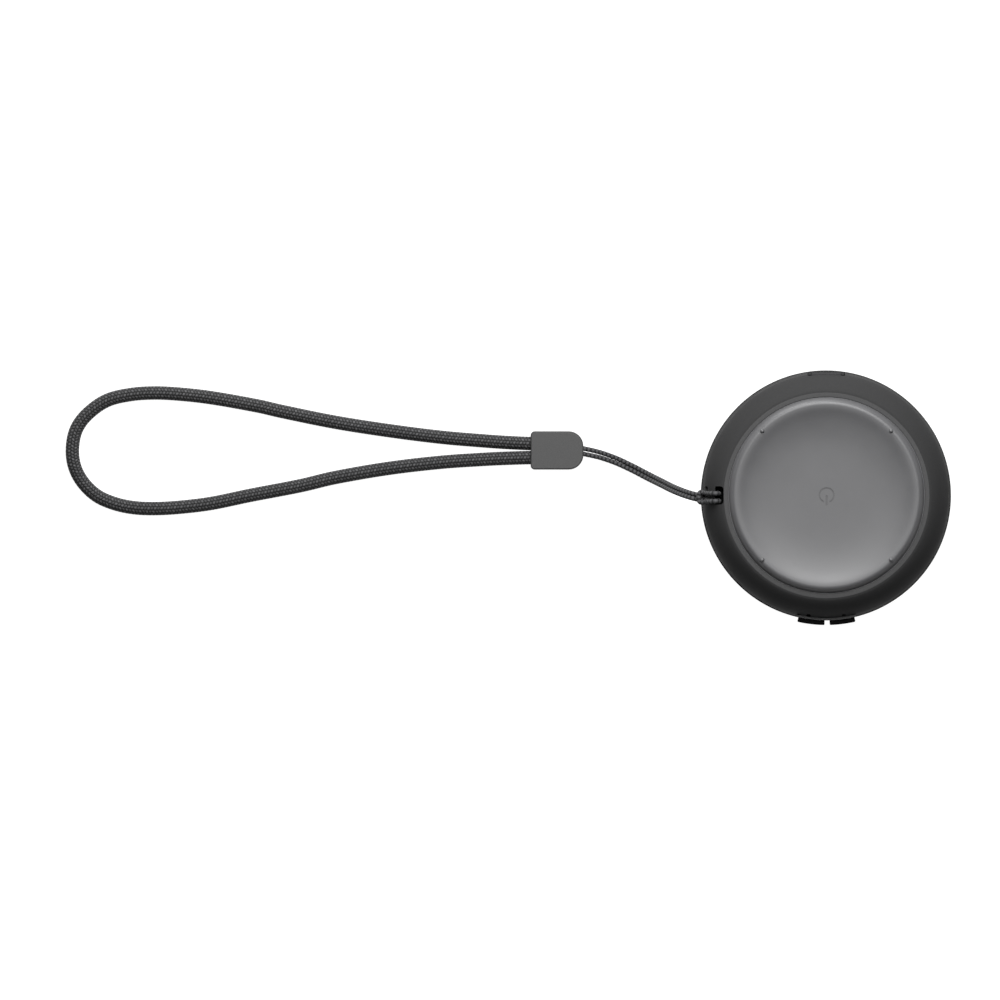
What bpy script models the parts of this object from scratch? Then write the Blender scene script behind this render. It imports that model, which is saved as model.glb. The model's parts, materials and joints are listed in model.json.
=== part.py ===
"""A round shower speaker with a wrist strap, lying face down, built in metres.

The frame: +Z comes out of the base, where the power key is, and the origin is on the
body's axis in the plane of the front face that it rests on. The strap leaves at -X,
the charging port is at +Y and the two volume buttons are at -Y.
"""

import math

import bmesh
import bpy
from mathutils import Matrix, Vector

MM = 0.001
GAP = 0.3 * MM  # between pieces that touch
ROUND_STEPS = 40  # sides of the large turned pieces
INNER_STEPS = 20  # sides of the driver's pieces
SMALL_STEPS = 10  # sides of screws and other small round pieces

# The casing
BODY_RADIUS = 46.0 * MM
BEZEL_HEIGHT = 9.0 * MM
SEAM_STEP = 0.4 * MM  # how far the bezel stands out from the rear shell
SHELL_WALL = 2.2 * MM
SHOULDER_HEIGHT = 14.0 * MM  # where the side starts to turn in
LAND_HEIGHT = 38.0 * MM  # the flat ring round the key
LAND_CHAMFER = 0.3 * MM
SHOULDER_WIDTH = 9.6 * MM  # half width of the ellipse that the side turns in on
SHOULDER_SPARE = 0.6 * MM  # how far its top would stand above the land
ROOF = 2.0 * MM
ROOF_DROP = 2.1 * MM  # from the land down to the roof under the key
BEZEL_ROUND = 2.6 * MM
BEZEL_FLANGE = 5.2 * MM
REST_RING = 2.6 * MM  # width of the bezel's flat front edge
SPIGOT_WALL = 1.9 * MM
SPIGOT_HEIGHT = 1.3 * MM
GROOVE_DEPTH = 0.9 * MM
GROOVE_WIDTH = 1.8 * MM
FLANGE_INSET = 10.5 * MM  # from the bezel's edge in to its flange's hole

# The power key
KEY_CLEARANCE = 0.4 * MM
LAND_WIDTH = 1.65 * MM
KEY_TRAVEL = 0.6 * MM
CREST_RISE = 2.0 * MM  # how far the rim's crest stands above the land
RIM_WIDTH = 2.76 * MM  # from the crest out to the key's edge
DISH_DEPTH = 2.0 * MM
DISH_FLAT = 10.0 * MM
DISH_POWER = 4.5  # how late the dish rises to its rim
STEM_RADIUS = 2.4 * MM
STEM_GROOVE = 1.6 * MM
SEAL_WELL_RADIUS = 7.5 * MM
SEAL_WELL_DEPTH = 1.3 * MM
SEAL_WELL_FLOOR = 1.5 * MM
SEAL_WALL = 1.2 * MM
CLIP_THICKNESS = 0.4 * MM
CLIP_WIDTH = 2.2 * MM
NUB_RADIUS = 0.83 * MM
NUB_INSET = 2.56 * MM  # from the key's edge in to the nubs
ICON_RADIUS = 2.65 * MM
ICON_STROKE = 0.55 * MM
ICON_BAR = 0.7 * MM
ICON_DEPTH = 0.25 * MM
ICON_GAP = 29.0  # degrees either side of the bar, where the ring is open

# The lanyard tunnel at -X
WINDOW_INSET = 8.2 * MM  # from the casing's edge in to the window's far side
BAR_WIDTH = 5.1 * MM
BAR_HEIGHT = 9.1 * MM  # from the land down to the bar's underside
TUNNEL_WIDTH = 6.7 * MM
TUNNEL_HEIGHT = 4.2 * MM
TUNNEL_WALL = 2.1 * MM

# The charging port and its cover at +Y
PORT_WIDTH = 13.75 * MM
PORT_BOTTOM = 13.0 * MM
PORT_TOP = 26.1 * MM
PORT_COVER_INSET = 0.9 * MM
PORT_COVER_THICKNESS = 2.4 * MM
PORT_CORNER = 1.5 * MM
PORT_FLOOR = 1.5 * MM
PORT_FRAME = 1.8 * MM
PLUG_HEIGHT = 3.0 * MM
PLUG_WIDTH = 8.4 * MM
PLUG_DEPTH = 1.2 * MM
USB_WIDTH = 8.94 * MM
USB_HEIGHT = 3.26 * MM
USB_DEPTH = 7.35 * MM
HINGE_INSET = 0.4 * MM  # the hinge line's depth behind the cover's face
HINGE_RISE = 0.9 * MM  # and its height above the cover's lower edge

# The volume buttons at -Y
BUTTON_STAND = 1.7 * MM  # how far the buttons stand out beyond the casing
BUTTON_NEAR = 1.4  # degrees from -Y to a button's near end
BUTTON_FAR = 13.0
BUTTON_BOTTOM = 14.0 * MM
BUTTON_TOP = 22.0 * MM
BUTTON_CLEARANCE = 0.35 * MM
BUTTON_FLANGE = 1.4 * MM
BUTTON_FLANGE_GAP = 1.5 * MM  # behind the wall
BUTTON_LIP = 0.8 * MM
BUTTON_TRAVEL = 0.6 * MM
THUMB_WIDTH = 14.4 * MM
THUMB_DEPTH = 2.0 * MM
THUMB_BOTTOM = 23.6 * MM
THUMB_TOP = 26.9 * MM

# The driver, facing the floor
GRILLE_THICKNESS = 1.3 * MM
GRILLE_CENTRE = 9.0 * MM  # radius of the plain middle
GRILLE_BORDER = 3.2 * MM
SLOT_ROWS = 3
SLOT_SHARE = 0.8  # a slot's length as a share of its row's width
SLOT_WIDTH = 2.0 * MM
SLOT_SPACING = 10.3 * MM  # along the middle of a row
CLOTH_THICKNESS = 0.4 * MM
BAFFLE_THICKNESS = 2.5 * MM
CONE_RADIUS = 19.6 * MM
CONE_NECK = 9.6 * MM
CONE_SHARE = 0.61  # the cone's depth as a share of the basket's
CONE_THICKNESS = 0.8 * MM
ROLL_WIDTH = 2.9 * MM
SURROUND_THICKNESS = 0.5 * MM
BASKET_FLANGE = 4.2 * MM
BASKET_SHEET = 1.2 * MM
BASKET_WINDOW = 11.0 * MM
COIL_THICKNESS = 0.9 * MM
COIL_CLEARANCE = 1.7 * MM  # from the coil's end to the cup's floor
MAGNET_GAP = 0.4 * MM
CUP_WALL = 2.2 * MM
CUP_DEPTH = 6.1 * MM
CUP_FLOOR = 2.0 * MM
MAGNET_HEIGHT = 2.1 * MM
POLE_THICKNESS = 1.4 * MM

# Screws
CASE_SCREW_INSET = 7.0 * MM  # from the casing's edge
CASE_SCREW_RADIUS = 1.0 * MM
CASE_SCREW_HEAD = 2.2 * MM
CASE_SCREW_HEAD_HEIGHT = 1.3 * MM
CASE_SCREW_LENGTH = 12.0 * MM
HEAD_SEAT = 1.9 * MM  # what is left of the bezel's flange over a screw head
CASE_BOSS_RADIUS = 2.8 * MM
DRIVER_SCREW_INSET = 1.7 * MM  # from the basket's edge
DRIVER_SCREW_RADIUS = 0.8 * MM
BOARD_SCREW_INSET = 4.0 * MM  # from the main board's edge
BOARD_SCREW_RADIUS = 0.8 * MM
BOARD_BOSS_RADIUS = 2.6 * MM
SMALL_HEAD_RADIUS = 1.5 * MM
SMALL_HEAD_HEIGHT = 1.1 * MM

# Boards and battery
BOARD_THICKNESS = 1.2 * MM
MAIN_BOARD_INSET = 12.0 * MM
MAIN_BOARD_DROP = 6.3 * MM  # from the roof down to the board's underside
SWITCH_SIDE = 6.0 * MM
SWITCH_BODY = 1.0 * MM
SWITCH_CAP = 0.5 * MM
SMALL_SWITCH_SIDE = 3.5 * MM
SMALL_SWITCH_HEIGHT = 1.6 * MM
SMALL_BOARD_THICKNESS = 1.0 * MM
BUTTON_BOARD_WIDTH = 23.0 * MM
BUTTON_BOARD_SPARE = 1.5 * MM  # above and below the buttons
CHARGE_BOARD_LENGTH = 12.0 * MM
CHARGE_BOARD_WIDTH = 16.0 * MM
BATTERY_LENGTH = 34.0 * MM
BATTERY_INSET = 9.0 * MM  # from the casing's edge
BATTERY_CLEARANCE = 0.4 * MM  # above the basket
TAPE_THICKNESS = 0.6 * MM
LEAD_RADIUS = 0.6 * MM

# The strap, with the points of its routes in millimetres
CORD_RADIUS = 0.85 * MM
CORD_SPACING = 2.0 * MM  # between the two strands, centre to centre
CORD_REST = 1.2 * MM  # the thin cord's height where it lies
LOOP_RADIUS = 2.5 * MM
CLASP_LENGTH = 19.4 * MM
CLASP_WIDTH = 13.9 * MM
CLASP_THICKNESS = 8.4 * MM
CLASP_MIDDLE = 16.45 * MM
CLASP_TIGHT_CORNER = 1.5 * MM
CLASP_WIDE_CORNER = 5.4 * MM
CLASP_GAP = 0.8 * MM  # from the thin cord's end to the clasp
TAIL_ROUTE = [  # x from the casing's edge, y, and the share of the climb to the hitch
    (-42.4, 16.1, 0.113), (-40.0, 15.6, 0.091), (-36.5, 14.7, 0.038), (-30.9, 12.7, 0.0),
    (-24.7, 9.8, 0.0), (-20.5, 7.6, 0.042), (-17.0, 5.9, 0.166), (-14.0, 4.5, 0.347),
    (-11.0, 3.0, 0.559), (-8.0, 1.7, 0.755), (-5.2, 0.7, 0.898), (-2.8, -0.2, 0.977),
]
HITCH_MIDDLE = -0.7  # the hitch is the same on both sides of this y
HITCH_ROUTE = [  # x from the casing's edge, y from the middle, z from the bar's underside
    (-0.7, 0.95, -1.2), (1.5, 0.95, -1.2), (3.6, 1.0, -1.15), (5.4, 1.1, -0.5),
    (6.3, 1.2, 1.7), (6.5, 1.3, 4.3), (6.3, 1.4, 6.4), (5.1, 1.4, 7.5), (3.7, 1.45, 6.4),
    (2.6, 1.6, 4.3), (1.6, 1.8, 2.3), (0.5, 1.8, 1.25), (-0.5, 1.1, 1.0),
]
HITCH_CENTRE = (-0.85, 0.0, 1.0)
LOOP_ROUTE = [  # x from the clasp's far end
    (-0.3, 19.1, 4.2), (-7.4, 19.4, 3.5), (-16.45, 20.0, 2.6), (-32.9, 21.4, 2.6),
    (-52.6, 23.9, 2.6), (-72.3, 27.0, 2.6), (-92.0, 31.0, 2.6), (-100.3, 32.9, 2.6),
    (-117.9, 36.0, 2.6), (-129.6, 37.3, 2.6), (-138.45, 37.7, 2.6), (-147.2, 37.1, 2.6),
    (-156.0, 34.9, 2.6), (-163.2, 29.8, 2.6), (-167.2, 24.2, 2.6), (-168.6, 17.2, 2.6),
    (-167.8, 10.7, 2.6), (-164.8, 4.9, 2.6), (-159.6, -0.1, 2.6), (-153.1, -3.0, 2.6),
    (-146.1, -4.5, 2.6), (-138.45, -4.85, 2.6), (-129.6, -4.4, 2.6), (-117.9, -3.0, 2.6),
    (-103.3, 0.0, 2.6), (-84.6, 3.6, 2.6), (-72.3, 6.5, 2.6), (-52.6, 9.9, 2.6),
    (-32.9, 12.2, 2.6), (-16.45, 13.3, 2.6), (-7.4, 13.7, 3.5), (-0.3, 13.9, 4.2),
]

# Places worked out from the sizes above
SHELL_RADIUS = BODY_RADIUS - SEAM_STEP
SHELL_BOTTOM = BEZEL_HEIGHT + GAP
SHOULDER_RISE = LAND_HEIGHT - SHOULDER_HEIGHT + SHOULDER_SPARE  # the ellipse's half height
SHOULDER_CENTRE = SHELL_RADIUS - SHOULDER_WIDTH
LAND_OUTER = SHOULDER_CENTRE + SHOULDER_WIDTH * math.sqrt(
    1 - ((LAND_HEIGHT - SHOULDER_HEIGHT) / SHOULDER_RISE) ** 2
)
LAND_INNER = LAND_OUTER - LAND_WIDTH
KEY_RADIUS = LAND_INNER - KEY_CLEARANCE
KEY_CREST = LAND_HEIGHT + CREST_RISE
KEY_CREST_RADIUS = KEY_RADIUS - RIM_WIDTH
ROOF_TOP = LAND_HEIGHT - ROOF_DROP
ROOF_UNDER = ROOF_TOP - ROOF
KEY_UNDER = ROOF_TOP + KEY_TRAVEL + 0.4 * MM
WELL_TOP = ROOF_TOP - SEAL_WELL_DEPTH
WELL_UNDER = WELL_TOP - SEAL_WELL_FLOOR
WINDOW_INNER = BODY_RADIUS - WINDOW_INSET
BAR_INNER = BODY_RADIUS - BAR_WIDTH
TUNNEL_CEILING = LAND_HEIGHT - BAR_HEIGHT
TUNNEL_FLOOR = TUNNEL_CEILING - TUNNEL_HEIGHT
MAIN_BOARD_RADIUS = BODY_RADIUS - MAIN_BOARD_INSET
MAIN_BOARD_BOTTOM = ROOF_UNDER - MAIN_BOARD_DROP
MAIN_BOARD_TOP = MAIN_BOARD_BOTTOM + BOARD_THICKNESS
SWITCH_TOP = MAIN_BOARD_TOP + GAP + SWITCH_BODY + SWITCH_CAP
STEM_BOTTOM = SWITCH_TOP + KEY_TRAVEL + GAP
GRILLE_RADIUS = BODY_RADIUS - BEZEL_ROUND - REST_RING - 2 * GAP
SLOT_ROW_WIDTH = (GRILLE_RADIUS - GRILLE_BORDER - GRILLE_CENTRE) / (SLOT_ROWS - 1 + SLOT_SHARE)
SLOT_LENGTH = SLOT_SHARE * SLOT_ROW_WIDTH
FLANGE_INNER = BODY_RADIUS - FLANGE_INSET
FLANGE_BOTTOM = GRILLE_THICKNESS + CLOTH_THICKNESS + 2 * GAP
FLANGE_TOP = FLANGE_BOTTOM + BEZEL_FLANGE
SPIGOT_OUTER = SHELL_RADIUS - SHELL_WALL - GAP
SPIGOT_INNER = SPIGOT_OUTER - SPIGOT_WALL
BAFFLE_BOTTOM = FLANGE_TOP + GAP
BAFFLE_TOP = BAFFLE_BOTTOM + BAFFLE_THICKNESS
SPIGOT_TOP = max(BEZEL_HEIGHT + SPIGOT_HEIGHT, BAFFLE_TOP)
SURROUND_RADIUS = CONE_RADIUS + GAP + ROLL_WIDTH
FLAT_BOTTOM = BAFFLE_TOP + GAP
BASKET_BOTTOM = FLAT_BOTTOM + SURROUND_THICKNESS + GAP
CUP_TOP = MAIN_BOARD_BOTTOM - 2 * GAP
CUP_BOTTOM = CUP_TOP - CUP_DEPTH
BASKET_TOP = CUP_BOTTOM - GAP
BASKET_DEPTH = BASKET_TOP - BASKET_BOTTOM
BASKET_RADIUS = SURROUND_RADIUS + BASKET_FLANGE
CONE_DEPTH = CONE_SHARE * BASKET_DEPTH
CONE_FRONT = FLAT_BOTTOM - ROLL_WIDTH / 2
NECK_TOP = CONE_FRONT + CONE_DEPTH + 2 * CONE_THICKNESS
COIL_BOTTOM = NECK_TOP + GAP
COIL_OUTER = CONE_NECK + COIL_THICKNESS
COIL_TOP = CUP_TOP - CUP_FLOOR - COIL_CLEARANCE
CUP_INNER = COIL_OUTER + MAGNET_GAP
CUP_OUTER = CUP_INNER + CUP_WALL
POLE_RADIUS = CONE_NECK - MAGNET_GAP
CASE_HEAD_TOP = FLANGE_TOP - HEAD_SEAT - GAP
PORT_COVER_FACE = BODY_RADIUS - PORT_COVER_INSET
PORT_FLOOR_FACE = PORT_COVER_FACE - PORT_COVER_THICKNESS - GAP
PORT_INNER = PORT_FLOOR_FACE - PORT_FLOOR
PORT_MIDDLE = (PORT_BOTTOM + PORT_TOP) / 2
COVER_BOTTOM = PORT_BOTTOM + GAP
COVER_TOP = PORT_TOP - 0.4 * MM
HINGE_Y = PORT_COVER_FACE - HINGE_INSET
HINGE_Z = COVER_BOTTOM + HINGE_RISE
BUTTON_MIDDLE = (BUTTON_NEAR + BUTTON_FAR) / 2
BUTTON_HEIGHT = (BUTTON_BOTTOM + BUTTON_TOP) / 2
BUTTON_RADIUS = BODY_RADIUS + BUTTON_STAND
BUTTON_FLANGE_OUTER = SHELL_RADIUS - SHELL_WALL - BUTTON_FLANGE_GAP
BUTTON_FLANGE_INNER = BUTTON_FLANGE_OUTER - BUTTON_FLANGE
SMALL_SWITCH_FACE = BUTTON_FLANGE_INNER - BUTTON_TRAVEL - 3 * GAP
BUTTON_BOARD_FACE = SMALL_SWITCH_FACE - SMALL_SWITCH_HEIGHT - GAP
BUTTON_BOARD_BOTTOM = BUTTON_BOTTOM - BUTTON_BOARD_SPARE
BUTTON_BOARD_TOP = BUTTON_TOP + BUTTON_BOARD_SPARE
THUMB_FACE = BODY_RADIUS - THUMB_DEPTH
BASKET_SLOPE = (BASKET_TOP - BASKET_BOTTOM - 2 * BASKET_SHEET) / (
    SURROUND_RADIUS + BASKET_SHEET - CUP_OUTER
)
BATTERY_INNER = CONE_RADIUS - 2 * GAP
BATTERY_OUTER = BODY_RADIUS - BATTERY_INSET
BATTERY_TOP = MAIN_BOARD_BOTTOM - TAPE_THICKNESS - 2 * GAP
BATTERY_BOTTOM = (
    BASKET_TOP - BASKET_SLOPE * (BATTERY_INNER - CUP_OUTER) + BATTERY_CLEARANCE
)
CHARGE_BOARD_TOP = PORT_MIDDLE - USB_HEIGHT / 2 - GAP
CHARGE_BOARD_BOTTOM = CHARGE_BOARD_TOP - SMALL_BOARD_THICKNESS
CLASP_NEAR = TAIL_ROUTE[0][0] * MM - BODY_RADIUS - CLASP_GAP
CLASP_FAR = CLASP_NEAR - CLASP_LENGTH


# ---------------------------------------------------------------- tools for modelling


def clear_scene():
    """Removes what the scene starts with."""
    for old in list(bpy.data.objects):
        bpy.data.objects.remove(old)


def collection(name):
    """A new collection in the scene."""
    made = bpy.data.collections.new(name)
    bpy.context.scene.collection.children.link(made)
    return made


def finish(name, grey, roughness, metallic=0.0):
    """A plain material: `grey` is one value, or a red, green and blue."""
    colour = grey if isinstance(grey, tuple) else (grey, grey, grey)
    made = bpy.data.materials.new(name)
    made.use_nodes = True
    shader = made.node_tree.nodes["Principled BSDF"]
    shader.inputs["Base Color"].default_value = (*colour, 1.0)
    shader.inputs["Roughness"].default_value = roughness
    shader.inputs["Metallic"].default_value = metallic
    return made


def place(name, data, material=None, at=(0.0, 0.0, 0.0)):
    """An object of `data`. With no material it is a cutter or another helper."""
    made = bpy.data.objects.new(name, data)
    made.location = at
    if material is None:
        made.hide_render = True
        made.display_type = "WIRE"
        HELPERS.objects.link(made)
    else:
        data.materials.append(material)
        PIECES.objects.link(made)
    return made


def shade_round(data):
    """Smooth shading that keeps corners over 35 degrees sharp."""
    data.shade_smooth()
    data.set_sharp_from_angle(angle=math.radians(35))


def turned(name, profile, material=None, steps=ROUND_STEPS):
    """A profile of (radius, height) points turned round the Z axis.

    It runs down the outer side. One that starts and ends on the axis is solid there,
    and any other is closed into a ring.
    """
    build = bmesh.new()
    corners = [build.verts.new((radius, 0.0, height)) for radius, height in profile]
    for first, second in zip(corners, corners[1:]):
        build.edges.new((first, second))
    if profile[0][0] > 0 or profile[-1][0] > 0:
        build.edges.new((corners[-1], corners[0]))
    data = bpy.data.meshes.new(name)
    build.to_mesh(data)
    build.free()
    made = place(name, data, material)
    screw = made.modifiers.new("turn", "SCREW")
    screw.steps = steps
    screw.render_steps = steps
    screw.use_merge_vertices = True
    screw.merge_threshold = 0.00001
    screw.use_smooth_shade = True
    return made


def rod(name, radius, bottom, top, at=(0.0, 0.0), material=None, steps=SMALL_STEPS):
    """An upright cylinder over the point `at`."""
    build = bmesh.new()
    bmesh.ops.create_cone(
        build, cap_ends=True, segments=steps, radius1=radius, radius2=radius,
        depth=top - bottom,
    )
    data = bpy.data.meshes.new(name)
    build.to_mesh(data)
    build.free()
    shade_round(data)
    return place(name, data, material, (at[0], at[1], (bottom + top) / 2))


def block(name, low, high, material=None, rounding=0.0):
    """A box from its lowest to its highest corner, its edges rounded by `rounding`."""
    low, high = Vector(low), Vector(high)
    build = bmesh.new()
    bmesh.ops.create_cube(build, size=1.0, matrix=Matrix.Diagonal((*(high - low), 1.0)))
    data = bpy.data.meshes.new(name)
    build.to_mesh(data)
    build.free()
    made = place(name, data, material, (low + high) / 2)
    if rounding:
        bevel(made, rounding)
    return made


def bevel(piece, width, segments=1):
    """Rounds the piece's sharp edges."""
    modifier = piece.modifiers.new("round", "BEVEL")
    modifier.width = width
    modifier.segments = segments
    modifier.limit_method = "ANGLE"
    modifier.angle_limit = math.radians(50)
    return modifier


def boolean(piece, other, operation):
    """Cuts, joins or trims `piece` with the helper `other`."""
    modifier = piece.modifiers.new(f"{operation.lower()} {other.name}", "BOOLEAN")
    modifier.operation = operation
    modifier.solver = "EXACT"
    modifier.object = other


def cut(piece, *others):
    """Takes each helper's shape away from the piece."""
    for other in others:
        boolean(piece, other, "DIFFERENCE")


def join(piece, *others):
    """Adds each helper's shape to the piece."""
    for other in others:
        boolean(piece, other, "UNION")


def as_mesh(piece):
    """The curve object as a mesh object, welded, in its place."""
    graph = bpy.context.evaluated_depsgraph_get()
    data = bpy.data.meshes.new_from_object(piece.evaluated_get(graph))
    build = bmesh.new()
    build.from_mesh(data)
    bmesh.ops.remove_doubles(build, verts=build.verts, dist=0.000001)
    bmesh.ops.recalc_face_normals(build, faces=build.faces)
    build.to_mesh(data)
    build.free()
    material = data.materials[0] if data.materials else None
    data.materials.clear()
    name = piece.name
    world = piece.matrix_world.copy()
    bpy.data.objects.remove(piece)
    made = place(name, data, material)
    made.matrix_world = world
    return made


def plate(name, outline, bottom, top, material=None, turn=None):
    """A flat outline of (x, y) points, extruded from `bottom` to `top`, as a mesh.

    `turn` is a matrix that stands it up. Without one it lies flat.
    """
    curve = bpy.data.curves.new(name, "CURVE")
    curve.dimensions = "2D"
    curve.fill_mode = "BOTH"
    curve.extrude = (top - bottom) / 2
    spline = curve.splines.new("POLY")
    spline.points.add(len(outline) - 1)
    for point, (x, y) in zip(spline.points, outline):
        point.co = (x, y, 0.0, 1.0)
    spline.use_cyclic_u = True
    made = place(name, curve, material)
    lift = Matrix.Translation((0.0, 0.0, (bottom + top) / 2))
    made.matrix_world = (turn or Matrix()) @ lift
    bpy.context.view_layer.update()
    return as_mesh(made)


def arc(centre, radius, start, end, count):
    """`count` + 1 points on an arc, by its angles in degrees."""
    angles = [math.radians(start + (end - start) * i / count) for i in range(count + 1)]
    return [(centre[0] + radius * math.cos(a), centre[1] + radius * math.sin(a)) for a in angles]


def rounded(low, high, radii, count=3):
    """A rectangle's outline. `radii` go round from the lower left corner, anticlockwise."""
    outline = []
    corners = [(low[0], low[1]), (high[0], low[1]), (high[0], high[1]), (low[0], high[1])]
    for index, ((x, y), radius) in enumerate(zip(corners, radii)):
        inward = (radius if index in (0, 3) else -radius, radius if index < 2 else -radius)
        start = 180 + 90 * index
        outline += arc((x + inward[0], y + inward[1]), radius, start, start + 90, count)
    return outline


def sector(inner, outer, start, end, count=6):
    """The outline between two radii and two angles."""
    return arc((0, 0), outer, start, end, count) + arc((0, 0), inner, end, start, count)


def smooth_route(points, spacing):
    """Points about `spacing` apart on a smooth curve through the given ones."""
    given = [Vector(point) for point in points]
    ends = [2 * given[0] - given[1]] + given + [2 * given[-1] - given[-2]]
    route = []
    for before, start, end, after in zip(ends, ends[1:], ends[2:], ends[3:]):
        count = max(1, round((end - start).length / spacing))
        # The tangents are scaled to this stretch, so that uneven points don't overshoot.
        span = (end - start).length
        leave = (end - before) * span / (end - before).length
        arrive = (after - start) * span / (after - start).length
        for step in range(count):
            t = step / count
            route.append(
                start * (2 * t**3 - 3 * t**2 + 1) + leave * (t**3 - 2 * t**2 + t)
                + end * (3 * t**2 - 2 * t**3) + arrive * (t**3 - t**2)
            )
    return route + [given[-1]]


def tube(name, route, radius, material):
    """A round cord along the points of a route."""
    curve = bpy.data.curves.new(name, "CURVE")
    curve.dimensions = "3D"
    curve.bevel_depth = radius
    curve.bevel_resolution = 2
    curve.use_fill_caps = True
    spline = curve.splines.new("POLY")
    spline.points.add(len(route) - 1)
    for point, place_at in zip(spline.points, route):
        point.co = (*place_at, 1.0)
    return place(name, curve, material)


def around(count, radius, first=0.0):
    """`count` points evenly round a circle, from the angle `first` in degrees."""
    return arc((0, 0), radius, first, first + 360, count)[:-1]


# ---------------------------------------------------------------------- the casing


def side_curve(inset, top, count=8):
    """The side's outline from the shoulder up to the height `top`, `inset` inside it."""
    centre = SHOULDER_CENTRE - inset
    rise = SHOULDER_RISE - inset
    last = math.asin(min(1.0, (top - SHOULDER_HEIGHT) / rise))
    angles = [last * i / count for i in range(count + 1)]
    return [
        (centre + SHOULDER_WIDTH * math.cos(a), SHOULDER_HEIGHT + rise * math.sin(a))
        for a in angles
    ]


def shell_core():
    """A solid just inside the rear shell's outer face, which trims what is added to it."""
    outer = side_curve(1.0 * MM, LAND_HEIGHT - 1.0 * MM)
    profile = [(0.0, outer[-1][1])] + outer[::-1]
    profile += [(outer[0][0], SHELL_BOTTOM), (0.0, SHELL_BOTTOM)]
    return turned("shell_core", profile)


def wall_pad(name, low, high):
    """A helper block for the rear shell's inside, trimmed to the shell's outer shape."""
    pad = block(name, low, high)
    boolean(pad, CORE, "INTERSECT")
    return pad


def boss(name, at, radius, bottom):
    """A helper column from `bottom` up into the roof, trimmed like a pad."""
    column = rod(name, radius, bottom, ROOF_UNDER + 0.7 * MM, at)
    boolean(column, CORE, "INTERSECT")
    return column


def tunnel_cutter():
    """The lanyard tunnel: down through the window, behind the bar and out of the side."""
    above = LAND_HEIGHT + 5.0 * MM
    beyond = -BODY_RADIUS - 5.0 * MM
    bend = 2.0 * MM
    outline = [(-WINDOW_INNER, above)]
    outline += arc((-WINDOW_INNER - bend, TUNNEL_FLOOR + bend), bend, 0, -90, 3)
    outline += [(beyond, TUNNEL_FLOOR), (beyond, TUNNEL_CEILING)]
    outline += [(-BAR_INNER - 1.3 * MM, TUNNEL_CEILING)]
    outline += [(-BAR_INNER - 0.6 * MM, TUNNEL_CEILING + 0.4 * MM)]
    outline += [(-BAR_INNER, TUNNEL_CEILING + 2.2 * MM), (-BAR_INNER, above)]
    half = TUNNEL_WIDTH / 2
    return plate("tunnel_cutter", outline, -half, half, turn=STAND)


def port_cutters():
    """The cover's pocket, and the opening that the cover's plug closes."""
    half = PORT_WIDTH / 2
    pocket = plate(
        "pocket_cutter",
        rounded((-half, PORT_BOTTOM), (half, PORT_TOP), [PORT_CORNER] * 4),
        -BODY_RADIUS - 5.0 * MM, -PORT_FLOOR_FACE, turn=STAND,
    )
    reach = PLUG_WIDTH / 2 + 0.6 * MM
    opening = block(
        "port_opening_cutter",
        (-reach, PORT_INNER - MM, PORT_MIDDLE - PLUG_HEIGHT / 2 - 0.5 * MM),
        (reach, PORT_FLOOR_FACE + MM, PORT_MIDDLE + PLUG_HEIGHT / 2 + 0.9 * MM),
    )
    return pocket, opening


def port_pads():
    """The wall behind the port's pocket and the shelf that carries the charging board."""
    half = PORT_WIDTH / 2 + PORT_FRAME
    frame = wall_pad(
        "port_frame_pad",
        (-half, PORT_INNER, PORT_BOTTOM - PORT_FRAME),
        (half, BODY_RADIUS, PORT_TOP + PORT_FRAME),
    )
    shelf = wall_pad(
        "port_shelf_pad",
        (-half + 2 * MM, PORT_INNER - 5.4 * MM, CHARGE_BOARD_BOTTOM - GAP - 1.2 * MM),
        (half - 2 * MM, PORT_INNER + 0.6 * MM, CHARGE_BOARD_BOTTOM - GAP),
    )
    return frame, shelf


def button_angles(side):
    """A volume button's start and end angles. `side` is -1 for the left one, 1 for the right."""
    near, far = -90 + side * BUTTON_NEAR, -90 + side * BUTTON_FAR
    return min(near, far), max(near, far)


def button_slot_cutter(name, side):
    """The slot that a volume button comes out of."""
    start, end = button_angles(side)
    spare = math.degrees(BUTTON_CLEARANCE / SHELL_RADIUS)
    outline = sector(
        BUTTON_FLANGE_INNER, BUTTON_RADIUS + 2 * MM, start - spare, end + spare
    )
    return plate(
        name, outline, BUTTON_BOTTOM - BUTTON_CLEARANCE, BUTTON_TOP + BUTTON_CLEARANCE
    )


def board_rail(name, side):
    """A rib of the rear shell that holds one end of the button board."""
    inner = side * (BUTTON_BOARD_WIDTH / 2 + GAP)
    outer = inner + side * 1.8 * MM
    return wall_pad(
        name,
        (min(inner, outer), -SHELL_RADIUS, BUTTON_BOARD_BOTTOM),
        (max(inner, outer), -BUTTON_BOARD_FACE + 1.6 * MM, BUTTON_BOARD_TOP),
    )


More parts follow.
